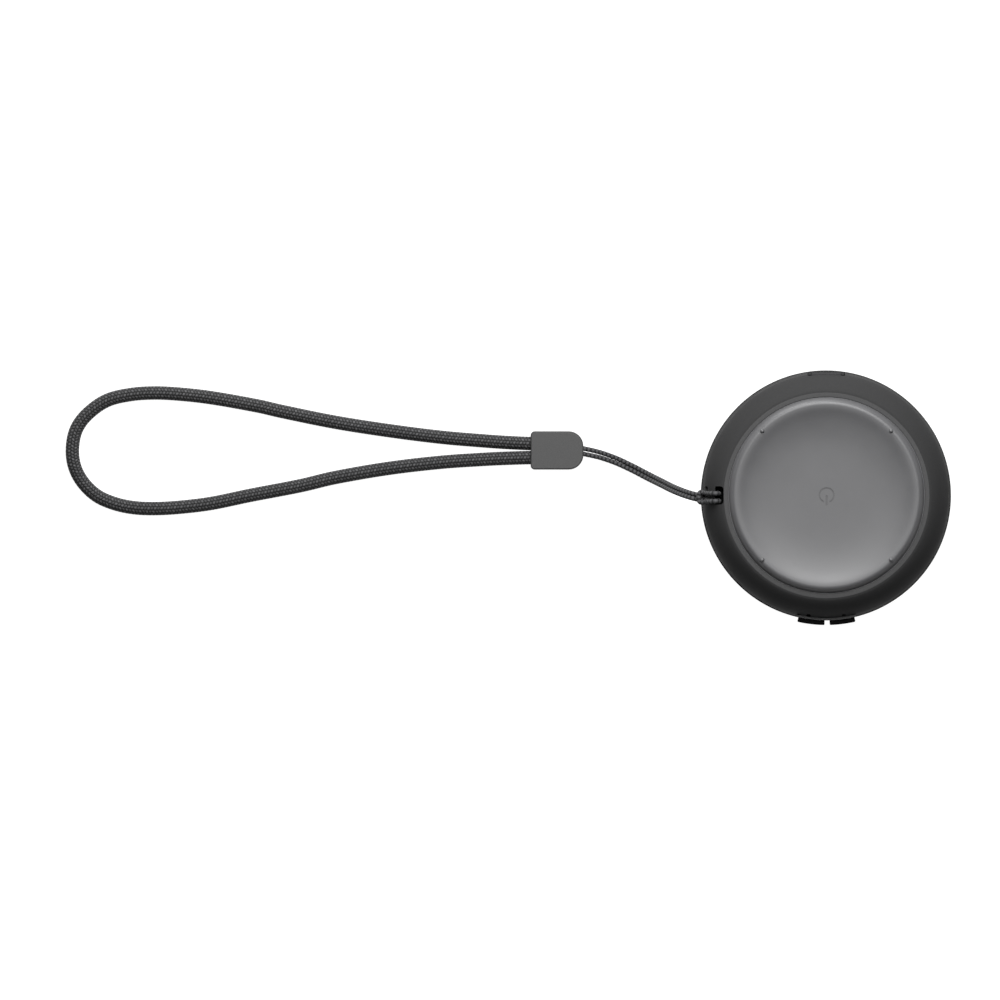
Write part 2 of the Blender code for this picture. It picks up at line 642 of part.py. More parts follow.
def rear_shell(material):
    """The cup that closes the speaker, with the tunnel, the port and the bosses."""
    outer = side_curve(0.0, LAND_HEIGHT - LAND_CHAMFER * 0.8)
    inner = side_curve(SHELL_WALL, ROOF_UNDER, 6)
    well_rim = SEAL_WELL_RADIUS + 2.0 * MM
    hole = STEM_RADIUS + 2 * GAP
    profile = [(outer[-1][0] - LAND_CHAMFER, LAND_HEIGHT)] + outer[::-1]
    profile += [(SHELL_RADIUS, SHELL_BOTTOM), (SHELL_RADIUS - SHELL_WALL, SHELL_BOTTOM)]
    profile += inner
    profile += [(well_rim + MM, ROOF_UNDER), (well_rim, WELL_UNDER), (hole, WELL_UNDER)]
    profile += [(hole, WELL_TOP), (SEAL_WELL_RADIUS, WELL_TOP), (SEAL_WELL_RADIUS, ROOF_TOP)]
    profile += [(LAND_INNER, ROOF_TOP), (LAND_INNER, LAND_HEIGHT)]
    shell = turned("rear_shell", profile, material)

    reach = TUNNEL_WIDTH / 2 + TUNNEL_WALL
    tunnel_pad = wall_pad(
        "tunnel_pad",
        (-BODY_RADIUS, -reach, TUNNEL_FLOOR - TUNNEL_WALL),
        (-WINDOW_INNER + TUNNEL_WALL, reach, ROOF_UNDER + MM),
    )
    join(shell, tunnel_pad, *port_pads())
    join(shell, board_rail("rail_left", -1), board_rail("rail_right", 1))
    for index, at in enumerate(CASE_SCREWS):
        join(shell, boss(f"case_boss_{index + 1}", at, CASE_BOSS_RADIUS, BAFFLE_TOP + GAP))
    for index, at in enumerate(BOARD_SCREWS):
        bottom = MAIN_BOARD_TOP + GAP
        join(shell, boss(f"board_boss_{index + 1}", at, BOARD_BOSS_RADIUS, bottom))

    cut(shell, tunnel_cutter(), *port_cutters())
    cut(shell, button_slot_cutter("slot_left", -1), button_slot_cutter("slot_right", 1))
    thumb = block(
        "thumb_cutter",
        (-THUMB_WIDTH / 2, -BODY_RADIUS - MM, THUMB_BOTTOM),
        (THUMB_WIDTH / 2, -THUMB_FACE, THUMB_TOP),
    )
    cut(shell, thumb, *CASE_HOLES, *BOARD_HOLES)
    return shell


def front_bezel(material):
    """The ring round the front, which carries the grille, the baffle and the seal."""
    hole = GRILLE_RADIUS + GAP
    groove = BEZEL_HEIGHT - GROOVE_DEPTH
    profile = [(BODY_RADIUS - GAP, BEZEL_HEIGHT), (BODY_RADIUS, BEZEL_HEIGHT - GAP)]
    profile += arc((BODY_RADIUS - BEZEL_ROUND, BEZEL_ROUND), BEZEL_ROUND, 0, -90, 4)
    profile += [(hole, 0.0), (hole, FLANGE_BOTTOM), (FLANGE_INNER, FLANGE_BOTTOM)]
    profile += [(FLANGE_INNER, FLANGE_TOP), (SPIGOT_INNER, FLANGE_TOP)]
    profile += [(SPIGOT_INNER, SPIGOT_TOP), (SPIGOT_OUTER, SPIGOT_TOP)]
    profile += [(SPIGOT_OUTER, groove), (SPIGOT_OUTER + GROOVE_WIDTH, groove)]
    profile += [(SPIGOT_OUTER + GROOVE_WIDTH, BEZEL_HEIGHT)]
    bezel = turned("front_bezel", profile, material)
    cut(bezel, *CASE_HOLES, *HEAD_POCKETS)
    return bezel


def shell_seal(material):
    """The ring in the bezel's groove that keeps water out of the seam."""
    inner = SPIGOT_OUTER + GAP
    outer = SPIGOT_OUTER + GROOVE_WIDTH - GAP
    bottom = BEZEL_HEIGHT - GROOVE_DEPTH + GAP
    top = SHELL_BOTTOM - GAP
    profile = [(outer, top), (outer, bottom), (inner, bottom), (inner, top)]
    return turned("shell_seal", profile, material)


def front_grille(material):
    """The flat plate over the driver, with rows of radial slots."""
    grille = rod(
        "front_grille", GRILLE_RADIUS, 0.0, GRILLE_THICKNESS, material=material,
        steps=ROUND_STEPS,
    )
    size = Matrix.Diagonal((SLOT_LENGTH, SLOT_WIDTH, 3 * GRILLE_THICKNESS, 1.0))
    build = bmesh.new()
    for row in range(SLOT_ROWS):
        radius = GRILLE_CENTRE + row * SLOT_ROW_WIDTH + SLOT_LENGTH / 2
        middle = Matrix.Translation((radius, 0.0, GRILLE_THICKNESS / 2))
        count = round(math.tau * radius / SLOT_SPACING)
        for index in range(count):
            turn = Matrix.Rotation(math.tau * index / count, 4, "Z")
            bmesh.ops.create_cube(build, size=1.0, matrix=turn @ middle @ size)
    data = bpy.data.meshes.new("slot_cutter")
    build.to_mesh(data)
    build.free()
    cut(grille, place("slot_cutter", data))
    return grille


def grille_cloth(material):
    """The water-shedding mesh behind the grille."""
    bottom = GRILLE_THICKNESS + GAP
    radius = GRILLE_RADIUS - 2 * GAP
    return rod(
        "grille_cloth", radius, bottom, bottom + CLOTH_THICKNESS, material=material,
        steps=ROUND_STEPS,
    )


def baffle(material):
    """The plate that the driver is screwed to."""
    outer = SPIGOT_INNER - GAP
    inner = SURROUND_RADIUS + GAP
    profile = [(outer, BAFFLE_TOP), (outer, BAFFLE_BOTTOM)]
    profile += [(inner, BAFFLE_BOTTOM), (inner, BAFFLE_TOP)]
    plate_piece = turned("baffle", profile, material)
    cut(plate_piece, *CASE_HOLES, *DRIVER_HOLES)
    return plate_piece


# ---------------------------------------------------------------------- the power key


def key_dish():
    """The key's top, from its centre out to the rim's crest and down its outer wall."""
    bottom = KEY_CREST - DISH_DEPTH
    top = [(0.0, bottom)]
    for index in range(8):
        share = index / 7
        rise = (1 - math.cos(math.pi * share**DISH_POWER)) / 2
        radius = DISH_FLAT + (KEY_CREST_RADIUS - DISH_FLAT) * share
        top.append((radius, bottom + DISH_DEPTH * rise))
    wall = arc((0.0, 0.0), 1.0, 90, 0, 5)[1:]
    width = KEY_RADIUS - KEY_CREST_RADIUS
    drop = KEY_CREST - LAND_HEIGHT + 2 * GAP
    return top + [(KEY_CREST_RADIUS + width * x, KEY_CREST - drop * (1 - y)) for x, y in wall]


def power_key(material):
    """The dished disc that is the power key, with its stem, nubs and power mark."""
    clip_low = WELL_UNDER - GAP - CLIP_THICKNESS
    profile = key_dish() + [(KEY_RADIUS, KEY_UNDER), (STEM_RADIUS, KEY_UNDER)]
    profile += [(STEM_RADIUS, WELL_UNDER), (STEM_GROOVE, WELL_UNDER)]
    profile += [(STEM_GROOVE, clip_low - GAP), (STEM_RADIUS, clip_low - GAP)]
    profile += [(STEM_RADIUS, STEM_BOTTOM), (0.0, STEM_BOTTOM)]
    key = turned("power_key", profile, material)
    for index, at in enumerate(around(4, KEY_RADIUS - NUB_INSET, 45)):
        build = bmesh.new()
        bmesh.ops.create_uvsphere(build, u_segments=10, v_segments=6, radius=NUB_RADIUS)
        data = bpy.data.meshes.new("nub")
        build.to_mesh(data)
        build.free()
        join(key, place(f"nub_{index + 1}", data, at=(*at, KEY_CREST - NUB_RADIUS * 0.4)))
    floor = KEY_CREST - DISH_DEPTH
    half = ICON_STROKE / 2
    ring = sector(
        ICON_RADIUS - half, ICON_RADIUS + half, -90 + ICON_GAP, 270 - ICON_GAP, 14
    )
    bar_end = -ICON_RADIUS - 1.1 * MM
    cut(key, plate("icon_ring", ring, floor - ICON_DEPTH, floor + MM))
    cut(key, block(
        "icon_bar", (-ICON_BAR / 2, bar_end, floor - ICON_DEPTH), (ICON_BAR / 2, 0.0, floor + MM)
    ))
    return key


def key_clip(material):
    """The clip in the stem's groove that keeps the key in its well."""
    inner = STEM_GROOVE + GAP
    top = WELL_UNDER - GAP
    bottom = top - CLIP_THICKNESS
    profile = [(inner + CLIP_WIDTH, top), (inner + CLIP_WIDTH, bottom), (inner, bottom)]
    return turned("key_clip", profile + [(inner, top)], material, 20)


def key_seal(material):
    """The bellows that seals the stem and pushes the key back up."""
    bottom, top = WELL_TOP + GAP, KEY_UNDER - GAP
    inner = STEM_RADIUS + 3 * GAP
    outer = SEAL_WELL_RADIUS - SEAL_WALL
    profile = [(inner + SEAL_WALL, top), (outer, bottom + SEAL_WALL * 0.6), (outer, bottom)]
    profile += [(outer - SEAL_WALL, bottom), (outer - SEAL_WALL, bottom + SEAL_WALL * 0.4)]
    return turned("key_seal", profile + [(inner, top)], material, 24)


# ------------------------------------------------------------------------- the driver


def driver_basket(material):
    """The driver's metal frame, from its flange back to the magnet cup."""
    sheet = BASKET_SHEET
    lip = BASKET_BOTTOM + sheet
    neck = CUP_OUTER - 0.7 * MM
    profile = [(CUP_OUTER, BASKET_TOP), (SURROUND_RADIUS + sheet, lip + sheet)]
    profile += [(SURROUND_RADIUS + sheet, lip), (BASKET_RADIUS, lip)]
    profile += [(BASKET_RADIUS, BASKET_BOTTOM), (SURROUND_RADIUS, BASKET_BOTTOM)]
    profile += [(SURROUND_RADIUS, lip + 0.5 * MM), (neck, BASKET_TOP - sheet)]
    profile += [(CUP_INNER, BASKET_TOP - sheet), (CUP_INNER, BASKET_TOP)]
    basket = turned("driver_basket", profile, material, INNER_STEPS)
    for index in range(4):
        window = block(
            f"window_cutter_{index + 1}",
            (CUP_OUTER + sheet, -BASKET_WINDOW / 2, BASKET_BOTTOM + 0.3 * BASKET_DEPTH),
            (BASKET_RADIUS, BASKET_WINDOW / 2, BASKET_TOP - 0.18 * BASKET_DEPTH),
        )
        turn = Matrix.Rotation(math.radians(90 * index), 4, "Z")
        window.matrix_world = turn @ Matrix.Translation(window.location)
        cut(basket, window)
    cut(basket, *DRIVER_HOLES)
    return basket


def driver_cone(material):
    """The cone and the short neck that the voice coil is glued to."""
    back = CONE_THICKNESS
    slope = CONE_DEPTH / (CONE_RADIUS - CONE_NECK)
    neck_back = CONE_FRONT + CONE_DEPTH + back - slope * COIL_THICKNESS
    profile = [(COIL_OUTER, NECK_TOP), (COIL_OUTER, neck_back)]
    profile += [(CONE_RADIUS, CONE_FRONT + back), (CONE_RADIUS, CONE_FRONT)]
    profile += [(CONE_NECK, CONE_FRONT + CONE_DEPTH), (CONE_NECK, NECK_TOP)]
    return turned("driver_cone", profile, material, INNER_STEPS)


def driver_surround(material):
    """The rubber half roll between the cone and the basket, with its flat outer edge."""
    sheet = SURROUND_THICKNESS
    middle = CONE_RADIUS + GAP + ROLL_WIDTH / 2
    half = ROLL_WIDTH / 2
    base = FLAT_BOTTOM + sheet
    profile = [(SURROUND_RADIUS + 1.5 * MM, base), (SURROUND_RADIUS + 1.5 * MM, FLAT_BOTTOM)]
    profile += arc((middle, FLAT_BOTTOM), half, 0, -180, 4)
    profile += [(middle - half, base)]
    profile += arc((middle, base), half - sheet, 180, 360, 4)
    return turned("driver_surround", profile, material, INNER_STEPS)


def driver_spider(material):
    """The corrugated ring that centres the voice coil in the basket."""
    inner = COIL_OUTER + GAP
    height = NECK_TOP - 0.6 * MM
    steepness = (BASKET_TOP - BASKET_SHEET - BASKET_BOTTOM - BASKET_SHEET - 0.5 * MM)
    steepness /= SURROUND_RADIUS - CUP_OUTER + 0.7 * MM
    seat = SURROUND_RADIUS - (height - BASKET_BOTTOM - BASKET_SHEET - 0.5 * MM) / steepness
    outer = seat - 1.2 * GAP
    waves = 4
    front = [
        (inner + (outer - inner) * i / waves, height - 0.5 * MM - 0.35 * MM * (i % 2))
        for i in range(waves + 1)
    ]
    back = [(radius, low + 0.5 * MM) for radius, low in front]
    return turned("driver_spider", front[::-1] + back, material, INNER_STEPS)


def driver_dust_cap(material):
    """The dome that closes the cone's middle."""
    edge = CONE_NECK - GAP
    height = CONE_FRONT + CONE_DEPTH
    dome = [(edge * share, 1.7 * MM * (1 - share**2)) for share in (0.0, 0.35, 0.7, 1.0)]
    back = [(radius, height - drop) for radius, drop in dome]
    front = [(radius, low - 0.5 * MM) for radius, low in back]
    return turned("driver_dust_cap", back + front[::-1], material, INNER_STEPS)


def voice_coil(material):
    """The coil and its former, in the gap between the pole plate and the cup."""
    profile = [(COIL_OUTER, COIL_TOP), (COIL_OUTER, COIL_BOTTOM)]
    profile += [(CONE_NECK, COIL_BOTTOM), (CONE_NECK, COIL_TOP)]
    return turned("voice_coil", profile, material, INNER_STEPS)


def magnet_cup(material):
    """The steel cup that closes the magnet's field round the coil."""
    floor = CUP_TOP - CUP_FLOOR
    profile = [(0.0, CUP_TOP), (CUP_OUTER - GAP, CUP_TOP), (CUP_OUTER, CUP_TOP - GAP)]
    profile += [(CUP_OUTER, CUP_BOTTOM), (CUP_INNER, CUP_BOTTOM), (CUP_INNER, floor)]
    return turned("magnet_cup", profile + [(0.0, floor)], material, INNER_STEPS)


def magnet_and_pole(magnet_finish, pole_finish):
    """The magnet disc in the cup and the pole plate in front of it."""
    top = CUP_TOP - CUP_FLOOR - GAP
    magnet = rod(
        "driver_magnet", POLE_RADIUS - 2 * GAP, top - MAGNET_HEIGHT, top,
        material=magnet_finish, steps=INNER_STEPS,
    )
    plate_top = top - MAGNET_HEIGHT - GAP
    pole = rod(
        "pole_plate", POLE_RADIUS, plate_top - POLE_THICKNESS, plate_top,
        material=pole_finish, steps=INNER_STEPS,
    )
    return magnet, pole


# ------------------------------------------------------------------------- the screws


def screw(name, at, material, head, shaft):
    """A screw over the point `at`. Head and shaft are (radius, bottom, top), one above the other."""
    low, high = sorted((head, shaft), key=lambda part: part[1])
    profile = [(0.0, high[2]), (high[0], high[2])]
    profile += [(high[0], high[1]), (low[0], high[1])]
    profile += [(low[0], low[1]), (0.0, low[1])]
    made = turned(name, profile, material, SMALL_STEPS)
    made.location = (*at, 0.0)
    return made


def case_screws(material):
    """The four screws under the grille that hold the bezel and baffle to the shell."""
    head_bottom = CASE_HEAD_TOP - CASE_SCREW_HEAD_HEIGHT
    for index, at in enumerate(CASE_SCREWS):
        screw(
            f"case_screw_{index + 1}", at, material,
            (CASE_SCREW_HEAD, head_bottom, CASE_HEAD_TOP),
            (CASE_SCREW_RADIUS, CASE_HEAD_TOP, CASE_HEAD_TOP + CASE_SCREW_LENGTH),
        )


def driver_screws(material):
    """The four screws that hold the driver's flange to the baffle."""
    seat = BASKET_BOTTOM + BASKET_SHEET + GAP
    for index, at in enumerate(DRIVER_SCREWS):
        screw(
            f"driver_screw_{index + 1}", at, material,
            (SMALL_HEAD_RADIUS, seat, seat + SMALL_HEAD_HEIGHT),
            (DRIVER_SCREW_RADIUS, BAFFLE_BOTTOM + MM, seat),
        )


def board_screws(material):
    """The three screws that hold the main board to the roof's bosses."""
    seat = MAIN_BOARD_BOTTOM - GAP
    for index, at in enumerate(BOARD_SCREWS):
        screw(
            f"board_screw_{index + 1}", at, material,
            (SMALL_HEAD_RADIUS, seat - SMALL_HEAD_HEIGHT, seat),
            (BOARD_SCREW_RADIUS, seat, MAIN_BOARD_TOP + 3.6 * MM),
        )


# ----------------------------------------------------------------- boards and battery


def main_board(material):
    """The round circuit board that everything is wired to."""
    board = rod(
        "main_board", MAIN_BOARD_RADIUS, MAIN_BOARD_BOTTOM, MAIN_BOARD_TOP,
        material=material, steps=40,
    )
    cut(board, *BOARD_HOLES)
    return board


def board_parts(chip_finish, can_finish, switch_finish):
    """What stands on the main board: the radio, the amplifier and the power switch."""
    base = MAIN_BOARD_TOP + GAP
    low, high = (-22.0 * MM, 7.0 * MM), (-9.0 * MM, 19.0 * MM)
    block("radio_module", (*low, base), (*high, base + 2.2 * MM), can_finish, 0.3 * MM)
    low, high = (9.0 * MM, -17.0 * MM), (16.0 * MM, -10.0 * MM)
    block("amplifier_chip", (*low, base), (*high, base + 1.1 * MM), chip_finish, 0.2 * MM)
    half = SWITCH_SIDE / 2
    switch = block(
        "power_switch", (-half, -half, base), (half, half, base + SWITCH_BODY), switch_finish
    )
    join(switch, rod("switch_cap", 1.6 * MM, base + SWITCH_BODY / 2, SWITCH_TOP))


def battery(cell_finish, tape_finish):
    """The flat cell beside the magnet, and the foam tape that holds it to the board."""
    half = BATTERY_LENGTH / 2
    block(
        "battery_cell", (BATTERY_INNER, -half, BATTERY_BOTTOM),
        (BATTERY_OUTER, half, BATTERY_TOP), cell_finish, 1.2 * MM,
    )
    low = BATTERY_TOP + GAP
    block(
        "battery_tape", (BATTERY_INNER + 2 * MM, -half + 5 * MM, low),
        (BATTERY_OUTER - 6 * MM, half - 5 * MM, low + TAPE_THICKNESS), tape_finish,
    )


def charge_board(board_finish, metal_finish):
    """The small board on the port's shelf, and the charging socket on it."""
    edge = PORT_INNER - GAP
    block(
        "charge_board",
        (-CHARGE_BOARD_WIDTH / 2, edge - CHARGE_BOARD_LENGTH, CHARGE_BOARD_BOTTOM),
        (CHARGE_BOARD_WIDTH / 2, edge, CHARGE_BOARD_TOP), board_finish,
    )
    half = USB_WIDTH / 2
    low = CHARGE_BOARD_TOP + GAP
    outline = rounded((-half, low), (half, low + USB_HEIGHT), [1.2 * MM] * 4)
    port = plate("usb_port", outline, -edge, -edge + USB_DEPTH, metal_finish, STAND)
    wall = 0.4 * MM
    mouth = rounded(
        (-half + wall, low + wall), (half - wall, low + USB_HEIGHT - wall), [0.8 * MM] * 4
    )
    cut(port, plate("usb_mouth", mouth, -edge - MM, -edge + 5.0 * MM, turn=STAND))


def port_cover(material):
    """The rubber cover over the charging socket, with the plug on its inside."""
    half = PORT_WIDTH / 2 - GAP
    outline = rounded((-half, COVER_BOTTOM), (half, COVER_TOP), [PORT_CORNER - GAP] * 4)
    inner = PORT_COVER_FACE - PORT_COVER_THICKNESS
    cover = plate("port_cover", outline, -PORT_COVER_FACE, -inner, material, STAND)
    join(cover, block(
        "plug",
        (-PLUG_WIDTH / 2, inner - PLUG_DEPTH, PORT_MIDDLE - PLUG_HEIGHT / 2),
        (PLUG_WIDTH / 2, inner + 0.5 * MM, PORT_MIDDLE + PLUG_HEIGHT / 2),
    ))
    move_origin(cover, (0.0, HINGE_Y, HINGE_Z))
    return cover


def button_board(board_finish, switch_finish):
    """The upright board behind the volume buttons, with a switch for each."""
    half = BUTTON_BOARD_WIDTH / 2
    block(
        "button_board", (-half, -BUTTON_BOARD_FACE, BUTTON_BOARD_BOTTOM),
        (half, -BUTTON_BOARD_FACE + SMALL_BOARD_THICKNESS, BUTTON_BOARD_TOP), board_finish,
    )
    reach = SMALL_SWITCH_SIDE / 2
    for name, side in (("volume_down_switch", -1), ("volume_up_switch", 1)):
        middle = side * BUTTON_FLANGE_INNER * math.sin(math.radians(BUTTON_MIDDLE))
        block(
            name, (middle - reach, -SMALL_SWITCH_FACE, BUTTON_HEIGHT - reach),
            (middle + reach, -BUTTON_BOARD_FACE - GAP, BUTTON_HEIGHT + reach), switch_finish,
        )


def volume_button(name, side, material):
    """A rubber button: the arc that stands out of its slot, and a flange behind the wall."""
    start, end = button_angles(side)
    cap = plate(
        name, sector(BUTTON_FLANGE_INNER + 0.6 * MM, BUTTON_RADIUS, start, end),
        BUTTON_BOTTOM, BUTTON_TOP, material,
    )
    lip = math.degrees(BUTTON_LIP / SHELL_RADIUS)
    flange = sector(BUTTON_FLANGE_INNER, BUTTON_FLANGE_OUTER, start - lip, end + lip)
    join(cap, plate(
        f"{name}_flange", flange, BUTTON_BOTTOM - BUTTON_LIP, BUTTON_TOP + BUTTON_LIP
    ))
    bevel(cap, 0.35 * MM)
    middle = math.radians(-90 + side * BUTTON_MIDDLE)
    out = Vector((math.cos(middle), math.sin(middle), 0.0)) * SHELL_RADIUS
    move_origin(cap, out + Vector((0.0, 0.0, BUTTON_HEIGHT)))
    return cap


def move_origin(piece, to):
    """Moves the piece's origin to a world point, its shape staying where it is."""
    bpy.context.view_layer.update()
    shift = piece.matrix_world.inverted() @ Vector(to)
    piece.data.transform(Matrix.Translation(-shift))
    piece.matrix_world = piece.matrix_world @ Matrix.Translation(shift)


def leads(material):
    """The wires inside, each clipped between two pieces."""
    under = MAIN_BOARD_BOTTOM - GAP
    terminal = BASKET_BOTTOM + BASKET_SHEET + GAP
    flange = GAP * 9 - BASKET_RADIUS
    face = BATTERY_LENGTH / 2 + GAP
    column = BATTERY_INNER + 9 * MM
    cell_middle = (BATTERY_TOP + BATTERY_BOTTOM) / 2
    inner_face = -BUTTON_BOARD_FACE + SMALL_BOARD_THICKNESS + GAP
    charge_end = PORT_INNER - GAP - CHARGE_BOARD_LENGTH + MM
    routes = {
        "speaker_lead": [
            (flange, -6.4 * MM, terminal),
            (flange - GAP, -6.6 * MM, terminal + 3 * MM),
            (flange - MM, -8.0 * MM, (terminal + under) / 2),
            (flange + GAP, -8.5 * MM, under - 3 * MM),
            (flange + 1.3 * MM, -8.5 * MM, under),
        ],
        "battery_lead": [
            (column, face, cell_middle),
            (column - MM, face + 2.2 * MM, cell_middle + MM),
            (column - 4 * MM, face + 2.6 * MM, under - 2 * MM),
            (column - 6 * MM, face + 2 * MM, under),
        ],
        "button_lead": [
            (-6.0 * MM, inner_face, BUTTON_HEIGHT + 2 * MM),
            (-6.0 * MM, inner_face + 2.4 * MM, BUTTON_HEIGHT + 3 * MM),
            (-6.5 * MM, inner_face + 4.6 * MM, under - 3 * MM),
            (-6.5 * MM, inner_face + 5 * MM, under),
        ],
        "charge_lead": [
            (5.0 * MM, charge_end, CHARGE_BOARD_TOP + GAP),
            (5.0 * MM, charge_end - 0.5 * MM, CHARGE_BOARD_TOP + 4 * MM),
            (5.0 * MM, charge_end - MM, under),
        ],
    }
    for name, points in routes.items():
        tube(name, smooth_route(points, 2.5 * MM), LEAD_RADIUS, material)


# -------------------------------------------------------------------------- the strap


def tail(side):
    """One strand from the clasp to the hitch, beside the middle of the two."""
    climb = TUNNEL_CEILING + HITCH_ROUTE[0][2] * MM - CORD_REST
    middle = [
        Vector((x * MM - BODY_RADIUS, y * MM, CORD_REST + share * climb))
        for x, y, share in TAIL_ROUTE
    ]
    ahead = middle[1:] + [2 * middle[-1] - middle[-2]]
    behind = [2 * middle[0] - middle[1]] + middle[:-1]
    strand = []
    for point, after, before in zip(middle, ahead, behind):
        run = (after - before).to_2d().normalized()
        across = Vector((-run.y, run.x, 0.0))
        strand.append(point + across * side * CORD_SPACING / 2)
    return strand


def hitch_point(x, y, z):
    """A point of the hitch in the part's frame, from its place beside the bar."""
    return Vector((x * MM - BODY_RADIUS, (HITCH_MIDDLE + y) * MM, TUNNEL_CEILING + z * MM))


def strap_cord(material):
    """The thin cord: hitched round the shell's bar, with both ends in the clasp."""
    halves = []
    for side in (1, -1):
        hitch = [hitch_point(x, side * y, z) for x, y, z in HITCH_ROUTE]
        halves.append(tail(side) + hitch)
    route = halves[0] + [hitch_point(*HITCH_CENTRE)] + halves[1][::-1]
    return tube("strap_cord", smooth_route(route, 1.9 * MM), CORD_RADIUS, material)


def strap_loop(material):
    """The thick braided wrist loop, both its ends in the clasp."""
    route = [(CLASP_FAR + x * MM, y * MM, z * MM) for x, y, z in LOOP_ROUTE]
    return tube("strap_loop", smooth_route(route, 10 * MM), LOOP_RADIUS, material)


def strap_clasp(material):
    """The two halves of the clasp that join the loop to the thin cord."""
    radii = [CLASP_TIGHT_CORNER, CLASP_WIDE_CORNER, CLASP_WIDE_CORNER, CLASP_TIGHT_CORNER]
    low = (CLASP_FAR, CLASP_MIDDLE - CLASP_WIDTH / 2)
    high = (CLASP_NEAR, CLASP_MIDDLE + CLASP_WIDTH / 2)
    outline = rounded(low, high, radii, 4)
    middle = CLASP_THICKNESS / 2
    seam = GAP / 2
    base = plate("strap_clasp_base", outline, 0.0, middle - seam, material)
    top = plate("strap_clasp_top", outline, middle + seam, CLASP_THICKNESS, material)
    for half in (base, top):
        bevel(half, 0.55 * MM)


clear_scene()
PIECES = collection("shower_speaker")
HELPERS = collection("cutters")
STAND = Matrix.Rotation(math.radians(90), 4, "X")  # stands a flat outline up in XZ

CASE_SCREWS = around(4, BODY_RADIUS - CASE_SCREW_INSET, 45)
DRIVER_SCREWS = around(4, BASKET_RADIUS - DRIVER_SCREW_INSET, 45)
BOARD_SCREWS = around(3, MAIN_BOARD_RADIUS - BOARD_SCREW_INSET, 60)
CORE = shell_core()
CASE_HOLES = [
    rod(f"case_hole_{i + 1}", CASE_SCREW_RADIUS + GAP, CASE_HEAD_TOP - MM,
        CASE_HEAD_TOP + CASE_SCREW_LENGTH + MM, at)
    for i, at in enumerate(CASE_SCREWS)
]
HEAD_POCKETS = [
    rod(f"head_pocket_{i + 1}", CASE_SCREW_HEAD + GAP, FLANGE_BOTTOM - 0.2 * MM,
        CASE_HEAD_TOP + GAP, at)
    for i, at in enumerate(CASE_SCREWS)
]
DRIVER_HOLES = [
    rod(f"driver_hole_{i + 1}", DRIVER_SCREW_RADIUS + GAP, BAFFLE_BOTTOM + MM - GAP,
        BASKET_BOTTOM + BASKET_SHEET + MM, at)
    for i, at in enumerate(DRIVER_SCREWS)
]
BOARD_HOLES = [
    rod(f"board_hole_{i + 1}", BOARD_SCREW_RADIUS + GAP, MAIN_BOARD_BOTTOM - MM,
        MAIN_BOARD_TOP + 3.9 * MM, at)
    for i, at in enumerate(BOARD_SCREWS)
]

casing = finish("casing plastic", (0.033, 0.034, 0.036), 0.5)
key_rubber = finish("key silicone", 0.19, 0.55)
black_rubber = finish("black rubber", 0.012, 0.6)
mesh_metal = finish("grille metal", 0.05, 0.4, 0.8)
cloth = finish("grille cloth", 0.02, 0.9)
inner_plastic = finish("inner plastic", 0.06, 0.5)
steel = finish("steel", 0.5, 0.35, 1.0)
paper = finish("cone paper", 0.04, 0.8)
copper = finish("copper", (0.7, 0.35, 0.18), 0.35, 1.0)
board_green = finish("circuit board", (0.02, 0.12, 0.06), 0.5)
chip_black = finish("chip resin", 0.03, 0.4)
cell_wrap = finish("cell wrap", (0.35, 0.4, 0.5), 0.35)
foam = finish("foam tape", 0.1, 0.95)
wire = finish("wire cover", (0.35, 0.03, 0.03), 0.5)
braid = finish("braided cord", 0.05, 0.85)
thin_braid = finish("thin cord", 0.03, 0.8)
clasp_plastic = finish("clasp plastic", 0.13, 0.5)

rear_shell(casing)
front_bezel(casing)
shell_seal(black_rubber)
front_grille(mesh_metal)
grille_cloth(cloth)
baffle(inner_plastic)
power_key(key_rubber)
key_clip(steel)
key_seal(black_rubber)
driver_basket(steel)
driver_cone(paper)
driver_surround(black_rubber)
driver_spider(cloth)
driver_dust_cap(paper)
voice_coil(copper)
magnet_cup(steel)
magnet_and_pole(steel, steel)
case_screws(steel)
driver_screws(steel)
board_screws(steel)
main_board(board_green)
board_parts(chip_black, steel, chip_black)
battery(cell_wrap, foam)
charge_board(board_green, steel)
port_cover(black_rubber)
button_board(board_green, chip_black)
volume_button("volume_down_button", -1, black_rubber)
volume_button("volume_up_button", 1, black_rubber)
leads(wire)
strap_cord(thin_braid)
strap_loop(braid)
strap_clasp(clasp_plastic)
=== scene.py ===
"""A round shower speaker with its wrist strap, dressed for the picture.

The speaker lies face down: +Z comes out of its base, where the power key is. The strap
leaves at -X, the charging port is at +Y and the two volume buttons are at -Y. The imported
parts give each place, and the pieces here stand for the ones that show.
"""

import sys

import json
import logging
import math
from dataclasses import dataclass, replace
from enum import Enum
from typing import Iterator, Sequence

import bmesh
import bpy
import numpy as np
from mathutils import Matrix, Vector

